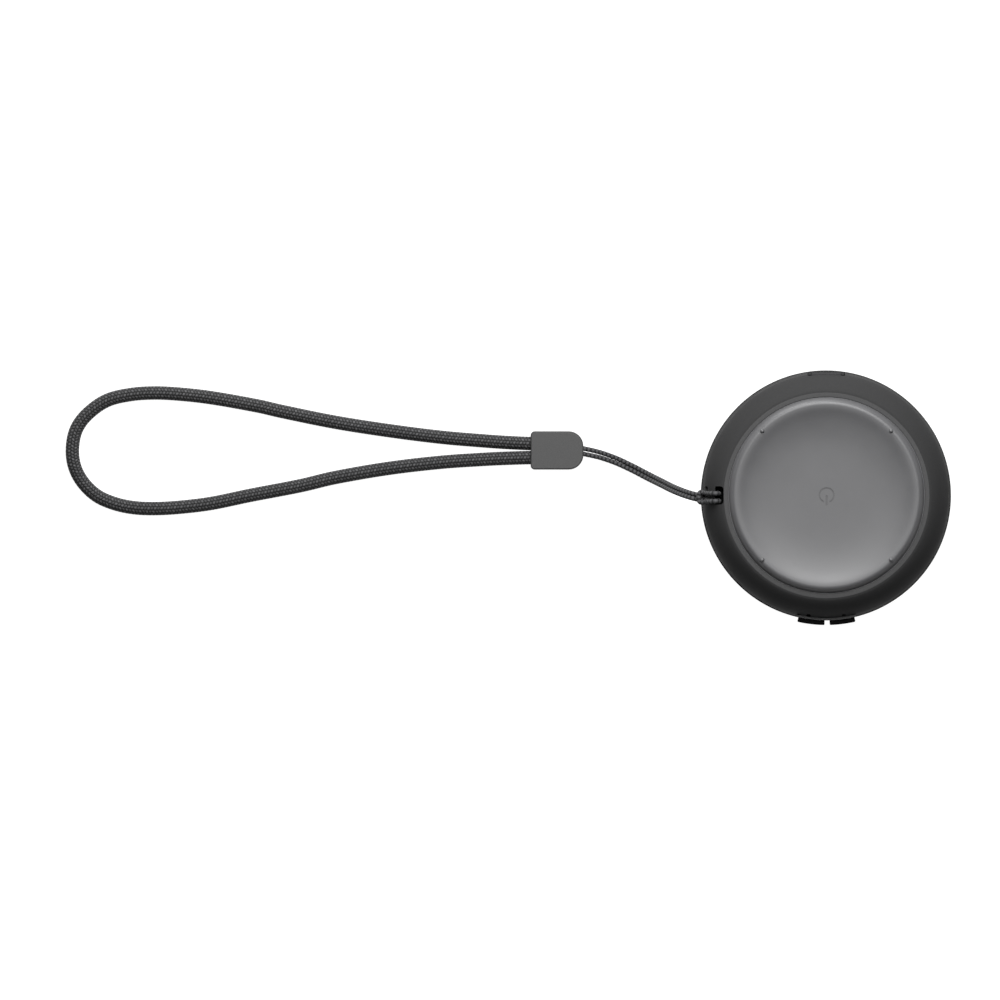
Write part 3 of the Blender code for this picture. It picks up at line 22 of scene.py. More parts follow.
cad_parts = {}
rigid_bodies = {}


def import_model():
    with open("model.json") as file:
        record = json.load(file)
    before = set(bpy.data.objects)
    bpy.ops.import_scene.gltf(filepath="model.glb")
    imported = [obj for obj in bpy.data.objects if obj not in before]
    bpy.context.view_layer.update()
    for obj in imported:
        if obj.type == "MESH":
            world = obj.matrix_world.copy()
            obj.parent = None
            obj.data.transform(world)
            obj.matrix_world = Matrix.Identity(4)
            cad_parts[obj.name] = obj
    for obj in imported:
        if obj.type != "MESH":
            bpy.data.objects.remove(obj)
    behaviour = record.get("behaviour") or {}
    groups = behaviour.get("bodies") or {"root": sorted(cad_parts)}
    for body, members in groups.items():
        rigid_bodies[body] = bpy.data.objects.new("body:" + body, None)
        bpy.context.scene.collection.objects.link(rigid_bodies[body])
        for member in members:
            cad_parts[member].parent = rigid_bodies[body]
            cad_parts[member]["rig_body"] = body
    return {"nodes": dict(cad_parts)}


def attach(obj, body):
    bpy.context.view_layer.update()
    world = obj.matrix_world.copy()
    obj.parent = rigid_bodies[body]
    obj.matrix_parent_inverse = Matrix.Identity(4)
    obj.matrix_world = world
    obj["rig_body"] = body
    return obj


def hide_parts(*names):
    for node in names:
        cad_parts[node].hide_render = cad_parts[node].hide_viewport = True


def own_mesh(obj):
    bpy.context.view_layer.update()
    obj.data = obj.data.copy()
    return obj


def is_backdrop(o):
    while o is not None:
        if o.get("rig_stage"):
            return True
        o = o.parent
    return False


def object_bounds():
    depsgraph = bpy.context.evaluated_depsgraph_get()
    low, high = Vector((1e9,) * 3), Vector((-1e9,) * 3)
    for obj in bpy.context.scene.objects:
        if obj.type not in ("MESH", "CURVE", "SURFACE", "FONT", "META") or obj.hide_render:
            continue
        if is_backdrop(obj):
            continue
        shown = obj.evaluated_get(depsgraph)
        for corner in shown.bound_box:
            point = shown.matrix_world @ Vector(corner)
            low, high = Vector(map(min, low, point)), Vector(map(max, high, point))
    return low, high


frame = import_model()
CAD_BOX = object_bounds()

log = logging.getLogger("speaker")

MM = 0.001
GAP = 0.3 * MM  # between pieces that touch
PAST = 5 * MM  # how far a cutting body runs past the casing
FINE_STEPS = 160  # sides of a large turned piece
SMALL_STEPS = 32  # sides of a small one
SMOOTH_BELOW = math.radians(32)  # edges flatter than this are shaded smooth

Piece = bpy.types.Object
Socket = bpy.types.NodeSocket
Colour = tuple[float, float, float]
Flat = tuple[float, float]
Place = tuple[float, float, float]


# ------------------------------------------------------------------- modelling moves


class Join(Enum):
    """What a second body does to a piece."""

    ADD = "UNION"
    CUT = "DIFFERENCE"
    TRIM = "INTERSECT"


class Bench:
    """The moves that the pieces are modelled with."""

    @staticmethod
    def hold(piece: Piece) -> None:
        """Makes one piece the only one selected, and the active one."""
        bpy.ops.object.select_all(action="DESELECT")
        piece.hide_set(False)
        piece.select_set(True)
        bpy.context.view_layer.objects.active = piece

    @staticmethod
    def settle(piece: Piece) -> Piece:
        """Applies the modifiers, and puts the piece's place into its mesh.

        Args:
            piece: the piece to finish.

        Returns:
            The same piece, at the origin, unturned and unscaled.
        """
        Bench.hold(piece)
        for modifier in list(piece.modifiers):
            bpy.ops.object.modifier_apply(modifier=modifier.name)
        bpy.ops.object.transform_apply(location=True, rotation=True, scale=True)
        return piece

    @staticmethod
    def line(name: str, points: Sequence[Vector], closed: bool) -> Piece:
        """Draws a line of edges, point after point, and stays in edit mode.

        Args:
            name: the new piece's name.
            points: where it goes.
            closed: whether its ends are joined.

        Returns:
            The new piece, with all of it selected.
        """
        bpy.ops.object.select_all(action="DESELECT")
        bpy.ops.mesh.primitive_plane_add(size=MM, location=points[0])
        piece = bpy.context.object
        piece.name = name
        piece.data.name = name
        bpy.ops.object.mode_set(mode="EDIT")
        bpy.ops.mesh.merge(type="CENTER")
        for start, end in zip(points, points[1:]):
            bpy.ops.mesh.extrude_region_move(TRANSFORM_OT_translate={"value": end - start})
        if closed:
            mesh = bmesh.from_edit_mesh(piece.data)
            mesh.verts.ensure_lookup_table()
            bpy.ops.mesh.select_all(action="DESELECT")
            mesh.verts[0].select = True
            mesh.verts[len(points) - 1].select = True
            mesh.select_flush(True)
            bmesh.update_edit_mesh(piece.data)
            bpy.ops.mesh.edge_face_add()
        bpy.ops.mesh.select_all(action="SELECT")
        return piece

    @staticmethod
    def turn(name: str, profile: Sequence[Flat], steps: int = FINE_STEPS) -> Piece:
        """Spins a profile of (radius, height) points round the Z axis.

        Args:
            name: the new piece's name.
            profile: the points. One that starts and ends on the axis is solid there, and
                any other is closed into a ring.
            steps: how many sides it gets.

        Returns:
            The closed body.
        """
        ring = profile[0][0] > 0 or profile[-1][0] > 0
        points = [Vector((radius, 0.0, height)) for radius, height in profile]
        piece = Bench.line(name, points, ring)
        bpy.ops.mesh.spin(steps=steps, angle=math.tau, center=(0, 0, 0), axis=(0, 0, 1))
        bpy.ops.mesh.select_all(action="SELECT")
        bpy.ops.mesh.remove_doubles(threshold=0.000001)
        bpy.ops.mesh.normals_make_consistent(inside=False)
        bpy.ops.object.mode_set(mode="OBJECT")
        return Bench.settle(piece)

    @staticmethod
    def extrude(name: str, outline: Sequence[Vector], way: Vector) -> Piece:
        """Fills an outline and extrudes it.

        Args:
            name: the new piece's name.
            outline: its corners.
            way: how far it is extruded, and in which direction.

        Returns:
            The closed body.
        """
        piece = Bench.line(name, outline, True)
        bpy.ops.mesh.edge_face_add()
        bpy.ops.mesh.extrude_region_move(TRANSFORM_OT_translate={"value": way})
        bpy.ops.mesh.select_all(action="SELECT")
        bpy.ops.mesh.normals_make_consistent(inside=False)
        bpy.ops.object.mode_set(mode="OBJECT")
        return Bench.settle(piece)

    @staticmethod
    def slab(
        name: str, outline: Sequence[Flat], low: float, high: float, standing: bool = False
    ) -> Piece:
        """Extrudes an outline from one height to another.

        Args:
            name: the new piece's name.
            outline: its corners, as (x, y), or as (x, z) for a standing one.
            low: where it starts, along Z, or along Y for a standing one.
            high: where it ends.
            standing: whether it stands up.

        Returns:
            The closed body.
        """
        if standing:
            points = [Vector((x, low, z)) for x, z in outline]
            return Bench.extrude(name, points, Vector((0.0, high - low, 0.0)))
        points = [Vector((x, y, low)) for x, y in outline]
        return Bench.extrude(name, points, Vector((0.0, 0.0, high - low)))

    @staticmethod
    def block(name: str, low: Place, high: Place, rounding: float = 0.0) -> Piece:
        """Builds a box between two corners, its edges rounded by `rounding`.

        Args:
            name: the new piece's name.
            low: its lowest corner.
            high: its highest corner.
            rounding: the radius of its edges.

        Returns:
            The closed body.
        """
        outline = [(low[0], low[1]), (high[0], low[1]), (high[0], high[1]), (low[0], high[1])]
        piece = Bench.slab(name, outline, low[2], high[2])
        return Bench.round(piece, rounding) if rounding else piece

    @staticmethod
    def rod(name: str, radius: float, start: Vector, end: Vector, sides: int) -> Piece:
        """Builds a straight rod between two points.

        Args:
            name: the new piece's name.
            radius: its radius.
            start: the middle of one end.
            end: the middle of the other.
            sides: how many sides it has.

        Returns:
            The closed body.
        """
        bpy.ops.object.select_all(action="DESELECT")
        bpy.ops.mesh.primitive_cylinder_add(
            vertices=sides, radius=radius, depth=(end - start).length,
            location=(start + end) / 2, rotation=(end - start).to_track_quat("Z", "Y").to_euler(),
        )
        piece = bpy.context.object
        piece.name = name
        return Bench.settle(piece)

    @staticmethod
    def round(piece: Piece, width: float, segments: int = 3, above: float = 40.0) -> Piece:
        """Bevels the edges sharper than `above` degrees.

        Args:
            piece: the piece to round.
            width: the bevel's width.
            segments: how many steps it has.
            above: the flattest edge that it rounds, in degrees.

        Returns:
            The same piece.
        """
        modifier = piece.modifiers.new("round", "BEVEL")
        modifier.width = width
        modifier.segments = segments
        modifier.limit_method = "ANGLE"
        modifier.angle_limit = math.radians(above)
        modifier.use_clamp_overlap = True
        return Bench.settle(piece)

    @staticmethod
    def gather(name: str, pieces: Sequence[Piece]) -> Piece:
        """Puts several bodies into one mesh.

        Args:
            name: the name of what they become.
            pieces: the bodies.

        Returns:
            The one piece.
        """
        Bench.hold(pieces[0])
        for piece in pieces:
            piece.select_set(True)
        bpy.ops.object.join()
        pieces[0].name = name
        return pieces[0]

    @staticmethod
    def combine(piece: Piece, other: Piece, join: Join) -> Piece:
        """Cuts, joins or trims a piece with another, and removes the other.

        Args:
            piece: the piece to work on.
            other: the body to work with.
            join: what the other body does to it.

        Returns:
            The first piece.
        """
        modifier = piece.modifiers.new("combine", "BOOLEAN")
        modifier.operation = join.value
        modifier.solver = "EXACT"
        modifier.use_self = True
        modifier.object = other
        Bench.settle(piece)
        bpy.data.objects.remove(other)
        return piece

    @staticmethod
    def smooth(piece: Piece, angle: float = SMOOTH_BELOW) -> Piece:
        """Shades the piece smooth, its corners staying sharp and its flats flat."""
        Bench.hold(piece)
        bpy.ops.object.shade_smooth_by_angle(angle=angle)
        modifier = piece.modifiers.new("flats", "WEIGHTED_NORMAL")
        modifier.keep_sharp = True
        return Bench.settle(piece)

    @staticmethod
    def dress(
        piece: Piece, body: str, slot: str, material: bpy.types.Material, *nodes: str
    ) -> Piece:
        """Gives a finished piece its material and body, and reports it.

        Args:
            piece: the piece.
            body: the CAD body that it moves with.
            slot: the record's material slot; not used.
            material: what it is made of.
            nodes: the CAD nodes that it stands for.

        Returns:
            The same piece.
        """
        piece.data.materials.clear()
        piece.data.materials.append(material)
        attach(piece, body)
        if nodes:
            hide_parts(*nodes)
        log.info("%s: %d faces, rides on %s", piece.name, len(piece.data.polygons), body)
        return piece


def arc(centre: Flat, radius: float, start: float, end: float, count: int) -> list[Flat]:
    """Lays points on an arc.

    Args:
        centre: its centre.
        radius: its radius.
        start: the first angle, in degrees.
        end: the last angle.
        count: how many steps lie between them.

    Returns:
        The points, one more than the steps.
    """
    angles = [math.radians(start + (end - start) * i / count) for i in range(count + 1)]
    return [(centre[0] + radius * math.cos(a), centre[1] + radius * math.sin(a)) for a in angles]


def rounded(low: Flat, high: Flat, radii: Sequence[float], count: int = 8) -> list[Flat]:
    """Outlines a rectangle with rounded corners.

    Args:
        low: its lowest corner.
        high: its highest corner.
        radii: of the corners, from the lower left one, anticlockwise.
        count: the steps of each corner.

    Returns:
        The outline.
    """
    outline: list[Flat] = []
    corners = [(low[0], low[1]), (high[0], low[1]), (high[0], high[1]), (low[0], high[1])]
    for index, ((x, y), radius) in enumerate(zip(corners, radii)):
        across = radius if index in (0, 3) else -radius
        up = radius if index < 2 else -radius
        start = 180 + 90 * index
        outline += arc((x + across, y + up), radius, start, start + 90, count)
    return outline


def sector(inner: float, outer: float, start: float, end: float, count: int) -> list[Flat]:
    """Outlines what lies between two radii and two angles in degrees."""
    return arc((0, 0), outer, start, end, count) + arc((0, 0), inner, end, start, count)


# ------------------------------------------------------------------------- finishes


class Shader:
    """One material, and short ways to wire its nodes."""

    def __init__(
        self, name: str, colour: Colour, roughness: float,
        metallic: float = 0.0, specular: float = 0.5,
    ) -> None:
        """Makes the material.

        Args:
            name: its name.
            colour: its base colour, linear.
            roughness: of its surface.
            metallic: 1 for bare metal.
            specular: the strength of its plain reflection.
        """
        self.material = bpy.data.materials.new(name)
        self.material.use_nodes = True
        self.tree = self.material.node_tree
        self.surface = self.tree.nodes["Principled BSDF"]
        self.surface.inputs["Base Color"].default_value = (*colour, 1.0)
        self.surface.inputs["Roughness"].default_value = roughness
        self.surface.inputs["Metallic"].default_value = metallic
        self.surface.inputs["Specular IOR Level"].default_value = specular
        self.normal: Socket | None = None

    def node(self, kind: str, **values: object) -> bpy.types.Node:
        """Adds a node of that kind, with those settings."""
        made = self.tree.nodes.new(kind)
        for key, value in values.items():
            setattr(made, key, value)
        return made

    def feed(self, socket: Socket, value: object) -> None:
        """Links a socket to another, or sets its number."""
        if isinstance(value, bpy.types.NodeSocket):
            self.tree.links.new(value, socket)
        else:
            socket.default_value = value

    def place(self) -> Socket:
        """The point on the piece, in metres."""
        return self.node("ShaderNodeTexCoord").outputs["Object"]

    def attribute(self, name: str) -> bpy.types.Node:
        """An attribute of the mesh."""
        return self.node("ShaderNodeAttribute", attribute_name=name)

    def noise(self, size: float, detail: float = 2.0, at: Socket | None = None) -> Socket:
        """A noise whose lumps are about `size` metres.

        Args:
            size: of the lumps.
            detail: how many finer layers it has.
            at: the coordinates, or None for the point on the piece.

        Returns:
            Its value, about 0.5.
        """
        made = self.node("ShaderNodeTexNoise")
        self.feed(made.inputs["Vector"], at or self.place())
        made.inputs["Scale"].default_value = 1.0 / size
        made.inputs["Detail"].default_value = detail
        return made.outputs["Fac"]

    def cells(self, size: float) -> Socket:
        """The distance to the nearest of many scattered points, `size` metres apart."""
        made = self.node("ShaderNodeTexVoronoi")
        self.feed(made.inputs["Vector"], self.place())
        made.inputs["Scale"].default_value = 1.0 / size
        return made.outputs["Distance"]

    def sum(self, operation: str, first: object, second: object = 0.0) -> Socket:
        """The result of a sum, of which some take one value alone."""
        made = self.node("ShaderNodeMath", operation=operation)
        self.feed(made.inputs[0], first)
        self.feed(made.inputs[1], second)
        return made.outputs[0]

    def scaled(self, value: Socket, low: float, high: float, start: float, end: float) -> Socket:
        """Maps a value from one range to another.

        Args:
            value: what is mapped.
            low: the value that gives `start`.
            high: the value that gives `end`.
            start: the first result.
            end: the last result.

        Returns:
            The result, kept between the two.
        """
        made = self.node("ShaderNodeMapRange")
        for key, number in zip(("Value", "From Min", "From Max", "To Min", "To Max"),
                               (value, low, high, start, end)):
            self.feed(made.inputs[key], number)
        return made.outputs[0]

    def axes(self, point: Socket) -> Sequence[Socket]:
        """A point's x, y and z."""
        made = self.node("ShaderNodeSeparateXYZ")
        self.feed(made.inputs[0], point)
        return made.outputs

    def radius(self) -> Socket:
        """The distance from the speaker's axis."""
        x, y, _ = self.axes(self.place())
        return self.sum("SQRT", self.sum("ADD", self.sum("MULTIPLY", x, x),
                                         self.sum("MULTIPLY", y, y)))

    def tint(self, share: Socket, first: Colour, second: Colour) -> None:
        """Colours the surface between two colours.

        Args:
            share: 0 for the first, 1 for the second.
            first: a colour.
            second: another.
        """
        made = self.node("ShaderNodeMix", data_type="RGBA")
        self.feed(made.inputs[0], share)
        made.inputs[6].default_value = (*first, 1.0)
        made.inputs[7].default_value = (*second, 1.0)
        self.feed(self.surface.inputs["Base Color"], made.outputs[2])

    def rough(self, share: Socket, low: float, high: float) -> None:
        """Varies the roughness from `low` to `high` as `share` goes from 0.3 to 0.7."""
        self.feed(self.surface.inputs["Roughness"], self.scaled(share, 0.3, 0.7, low, high))

    def bump(self, height: Socket, depth: float) -> None:
        """Raises the surface by a height from 0 to 1, `depth` metres at most."""
        made = self.node("ShaderNodeBump")
        made.inputs["Strength"].default_value = 1.0
        made.inputs["Distance"].default_value = depth
        self.feed(made.inputs["Height"], height)
        if self.normal:
            self.feed(made.inputs["Normal"], self.normal)
        self.normal = made.outputs[0]
        self.feed(self.surface.inputs["Normal"], self.normal)


def shade(colour: Colour, share: float) -> Colour:
    """A colour made lighter or darker."""
    return (colour[0] * share, colour[1] * share, colour[2] * share)


class Measure(Enum):
    """What a zone of a surface is measured by."""

    RADIUS = "the distance from the speaker's axis"
    HEIGHT = "the height"
    SIDE = "the distance from the plane through the axis and the port"


@dataclass(frozen=True)
class Zone:
    """A zone of a surface that is paler or darker than the rest."""

    measure: Measure
    start: float  # where it begins
    full: float  # where it has its full shade
    shade: float  # how many times as pale it is
    above: float = 0.0  # the height that it stays above

    def share(self, made: Shader) -> Socket:
        """How many times as pale each point is."""
        x, _, z = made.axes(made.place())
        at = {Measure.RADIUS: made.radius, Measure.HEIGHT: lambda: z,
              Measure.SIDE: lambda: made.sum("ABSOLUTE", x)}[self.measure]()
        inside = made.sum("MULTIPLY", made.scaled(at, self.start, self.full, 0.0, 1.0),
                          made.sum("GREATER_THAN", z, self.above))
        return made.scaled(inside, 0.0, 1.0, 1.0, self.shade)


@dataclass(frozen=True)
class MouldedPlastic:
    """Hard plastic from a mould with an eroded grain."""

    name: str
    colour: Colour
    roughness: float
    specular: float
    grain: float = 0.32 * MM
    depth: float = 0.008 * MM
    handling: float = 0.05  # how much the roughness varies where it has been handled
    zones: tuple[Zone, ...] = ()
    patch: float = 14 * MM  # the size of a handled patch

    def material(self) -> bpy.types.Material:
        """Builds it: grain, fine specks, and patches that are rubbed a little smoother."""
        made = Shader(self.name, self.colour, self.roughness, specular=self.specular)
        patches = made.noise(self.patch, 3.0)
        grain = made.noise(self.grain, 3.0)
        share = made.scaled(grain, 0.35, 0.65, 0.93, 1.07)
        top = 1.1
        for zone in self.zones:
            share = made.sum("MULTIPLY", share, zone.share(made))
            top *= max(1.0, zone.shade)
        made.tint(made.scaled(share, 0.0, top, 0.0, 1.0), shade(self.colour, 0.0),
                  shade(self.colour, top))
        made.rough(patches, self.roughness - self.handling, self.roughness + self.handling)
        made.bump(grain, self.depth)
        made.bump(made.noise(3 * self.grain, 1.0), self.depth)
        return made.material


@dataclass(frozen=True)
class Silicone:
    """Soft rubber with a dry, even skin that holds a little dust."""

    name: str
    colour: Colour
    roughness: float
    specular: float
    sheen: float = 0.0
    dust: float = 0.12
    mark_below: float = 0.0  # the height that an engraved mark in it starts under
    mark_shade: float = 0.74  # how pale the mark is
    skin: float = 0.18 * MM  # the grain of its skin
    cloud: float = 9 * MM
    speck: float = 2.6 * MM  # between two specks of dust

    def material(self) -> bpy.types.Material:
        """Builds it: a very fine skin, faint cloudiness, and specks of dust."""
        made = Shader(self.name, self.colour, self.roughness, specular=self.specular)
        made.surface.inputs["Sheen Weight"].default_value = self.sheen
        made.surface.inputs["Sheen Roughness"].default_value = 0.6
        skin = made.noise(self.skin, 2.0)
        cloud = made.noise(self.cloud, 4.0)
        speck = made.scaled(made.cells(self.speck), 0.0, 0.05, 1.0, 0.0)
        share = made.sum("ADD", made.scaled(cloud, 0.3, 0.7, 0.0, 0.5),
                         made.sum("MULTIPLY", speck, self.dust))
        # Painted shade: the engraved mark's floor is darkened, as the shade inside the engraving.
        if self.mark_below:
            drop = 1.6
            mark = made.sum("LESS_THAN", made.axes(made.place())[2], self.mark_below)
            share = made.sum("SUBTRACT", share, made.sum("MULTIPLY", mark, drop))
            made.tint(made.scaled(share, -drop, 1.0, 0.0, 1.0),
                      shade(self.colour, self.mark_shade), shade(self.colour, 1.1))
        else:
            made.tint(share, shade(self.colour, 0.96), shade(self.colour, 1.1))
        made.rough(cloud, self.roughness - 0.01, self.roughness + 0.02)
        made.bump(skin, 0.004 * MM)
        return made.material


class Working(Enum):
    """How a metal's surface was worked."""

    TURNED = "turned"
    ROLLED = "rolled"
    COATED = "coated"


@dataclass(frozen=True)
class Metal:
    """Bare or coated metal."""

    name: str
    colour: Colour
    roughness: float
    working: Working = Working.ROLLED

    def material(self) -> bpy.types.Material:
        """Builds it, with rings, rolling lines or the skin of a powder coat."""
        metallic = 0.35 if self.working is Working.COATED else 1.0
        made = Shader(self.name, self.colour, self.roughness, metallic)
        if self.working is Working.TURNED:
            rings = made.node("ShaderNodeCombineXYZ")
            made.feed(rings.inputs[0], made.radius())
            marks, depth = made.noise(0.12 * MM, 3.0, rings.outputs[0]), 0.006 * MM
        elif self.working is Working.ROLLED:
            x, y, z = made.axes(made.place())
            lines = made.node("ShaderNodeCombineXYZ")
            made.feed(lines.inputs[0], made.sum("MULTIPLY", x, 0.05))
            made.feed(lines.inputs[1], y)
            made.feed(lines.inputs[2], z)
            marks, depth = made.noise(0.15 * MM, 3.0, lines.outputs[0]), 0.004 * MM
        else:
            marks, depth = made.noise(0.22 * MM, 3.0), 0.02 * MM
        made.rough(marks, self.roughness - 0.08, self.roughness + 0.08)
        stain = made.noise(6 * MM, 4.0)
        made.tint(made.scaled(stain, 0.3, 0.7, 0.0, 1.0), shade(self.colour, 0.85), self.colour)
        made.bump(marks, depth)
        return made.material


@dataclass(frozen=True)
class WovenCloth:
    """A fine plain weave."""

    name: str
    colour: Colour
    thread: float = 0.3 * MM

    def material(self) -> bpy.types.Material:
        """Builds it: threads each way, over and under, with painted shade in the holes between them
        and a painted highlight where they cross.
        """
        made = Shader(self.name, self.colour, 0.85, specular=0.2)
        x, y, _ = made.axes(made.place())
        turn = math.pi / self.thread
        across = made.sum("ABSOLUTE", made.sum("SINE", made.sum("MULTIPLY", x, turn)))
        along = made.sum("ABSOLUTE", made.sum("SINE", made.sum("MULTIPLY", y, turn)))
        height = made.sum("MULTIPLY", across, along)
        # Painted shade in the holes between the threads, painted highlight on their crossings.
        made.tint(height, shade(self.colour, 0.25), shade(self.colour, 1.3))
        made.bump(height, 0.08 * MM)
        made.bump(made.noise(0.05 * MM, 2.0), 0.01 * MM)
        return made.material


@dataclass(frozen=True)
class BraidedYarn:
    """Polyester yarn, as the stitches of a braided cord.

    The cord's mesh carries the coordinates `stitch`: columns of stitches round the cord
    against rows of them along it.
    """

    name: str
    colour: Colour
    # Painted highlight: the top of each stitch is painted lighter, as light falls on it.
    light: float  # how much lighter the top of a stitch is
    slant: float  # how far a stitch leans from one side of its column to the other, in rows
    offset: float = 0.0  # how far every other column is along from its neighbours, in rows
    parted: float = 1.0  # how deep the columns are parted
    dim: float = 0.0  # how much darker every other stitch lies
    filament: float = 0.16  # in rows

    @staticmethod
    def bell(made: Shader, place: Socket) -> Socket:
        """1 in the middle of a stitch and 0 at its edges."""
        return made.sum("SUBTRACT", 1.0,
                        made.sum("MULTIPLY", 4.0, made.sum("MULTIPLY", place, place)))

    def material(self) -> bpy.types.Material:
        """Builds it: leaning stitches with filaments along them, a painted highlight on their tops
        and painted shade between them.
        """
        made = Shader(self.name, self.colour, 0.75, specular=0.05)
        made.surface.inputs["Sheen Weight"].default_value = 0.03
        made.surface.inputs["Sheen Roughness"].default_value = 0.5
        across, along, _ = made.axes(made.attribute("stitch").outputs["Vector"])
        odd = made.sum("MODULO", made.sum("FLOOR", across), 2.0)
        over = made.sum("SUBTRACT", made.sum("FRACT", across), 0.5)
        lean = made.sum("MULTIPLY", made.scaled(odd, 0.0, 1.0, -self.slant, self.slant), over)
        leaning = made.sum("ADD", made.sum("ADD", along, lean),
                           made.sum("MULTIPLY", odd, self.offset))
        run = made.sum("SUBTRACT", made.sum("FRACT", leaning), 0.5)
        ridge = made.scaled(self.bell(made, over), 0.0, 1.0, 1.0 - self.parted, 1.0)
        height = made.sum("MULTIPLY", ridge, self.bell(made, run))
        pair = made.sum("FLOOR", made.sum("MULTIPLY", across, 0.5))
        other = made.sum("MODULO", made.sum("ADD", pair, made.sum("FLOOR", leaning)), 2.0)

        lines = made.node("ShaderNodeCombineXYZ")
        made.feed(lines.inputs[0], across)
        made.feed(lines.inputs[1], made.sum("MULTIPLY", leaning, 0.2))
        filaments = made.noise(self.filament, 2.0, lines.outputs[0])
        worn = made.noise(7 * MM, 3.0)
        share = made.sum("MULTIPLY", height, made.scaled(filaments, 0.3, 0.7, 0.8, 1.0))
        share = made.sum("MULTIPLY", share, made.scaled(other, 0.0, 1.0, 1.0, 1.0 - self.dim))
        share = made.sum("MULTIPLY", share, made.scaled(worn, 0.3, 0.7, 0.8, 1.0))
        # Painted highlight on the stitches' tops, painted shade between them.
        made.tint(share, shade(self.colour, 0.25), shade(self.colour, self.light))
        made.bump(height, 0.3 * MM)
        made.bump(filaments, 0.02 * MM)
        return made.material


@dataclass(frozen=True)
class Laminate:
    """A circuit board: solder mask over copper tracks."""

    name: str
    mask: Colour
    track: Colour

    def material(self) -> bpy.types.Material:
        """Builds it: right-angled tracks, pads and a glossy mask."""
        made = Shader(self.name, self.mask, 0.35)
        tracks = made.node("ShaderNodeTexVoronoi", distance="CHEBYCHEV",
                           feature="DISTANCE_TO_EDGE")
        made.feed(tracks.inputs["Vector"], made.place())
        tracks.inputs["Scale"].default_value = 1.0 / (2.2 * MM)
        line = made.scaled(tracks.outputs["Distance"], 0.05, 0.07, 1.0, 0.0)
        pad = made.scaled(made.cells(3.1 * MM), 0.12, 0.14, 1.0, 0.0)
        share = made.sum("MAXIMUM", line, pad)
        made.tint(share, self.mask, self.track)
        made.bump(share, 0.035 * MM)
        return made.material


@dataclass(frozen=True)
class Fibrous:
    """Something matt and felted or foamed: paper pulp, foam, a chip's resin."""

    name: str
    colour: Colour
    fibre: float
    depth: float
    roughness: float = 0.9

    def material(self) -> bpy.types.Material:
        """Builds it: an uneven, matt surface in two sizes of grain."""
        made = Shader(self.name, self.colour, self.roughness, specular=0.25)
        coarse, fine = made.noise(self.fibre, 4.0), made.cells(self.fibre)
        made.tint(coarse, shade(self.colour, 0.7), shade(self.colour, 1.2))
        made.rough(fine, self.roughness - 0.1, self.roughness)
        made.bump(coarse, self.depth)
        made.bump(fine, self.depth / 2)
        return made.material


@dataclass(frozen=True)
class Wound:
    """Enamelled wire in even turns, one over the other along Z, or a smooth wire cover."""

    name: str
    colour: Colour
    pitch: float
    metallic: float

    def material(self) -> bpy.types.Material:
        """Builds it: one ridge for each turn, with painted shade in the grooves between the turns.
        """
        made = Shader(self.name, self.colour, 0.35, self.metallic)
        _, _, z = made.axes(made.place())
        ridge = made.sum("ABSOLUTE", made.sum("SINE", made.sum("MULTIPLY", z, math.pi / self.pitch)))
        # Painted shade in the grooves between the turns.
        made.tint(ridge, shade(self.colour, 0.5), self.colour)
        made.rough(made.noise(1.5 * MM), 0.3, 0.45)
        made.bump(ridge, self.pitch / 4)
        return made.material


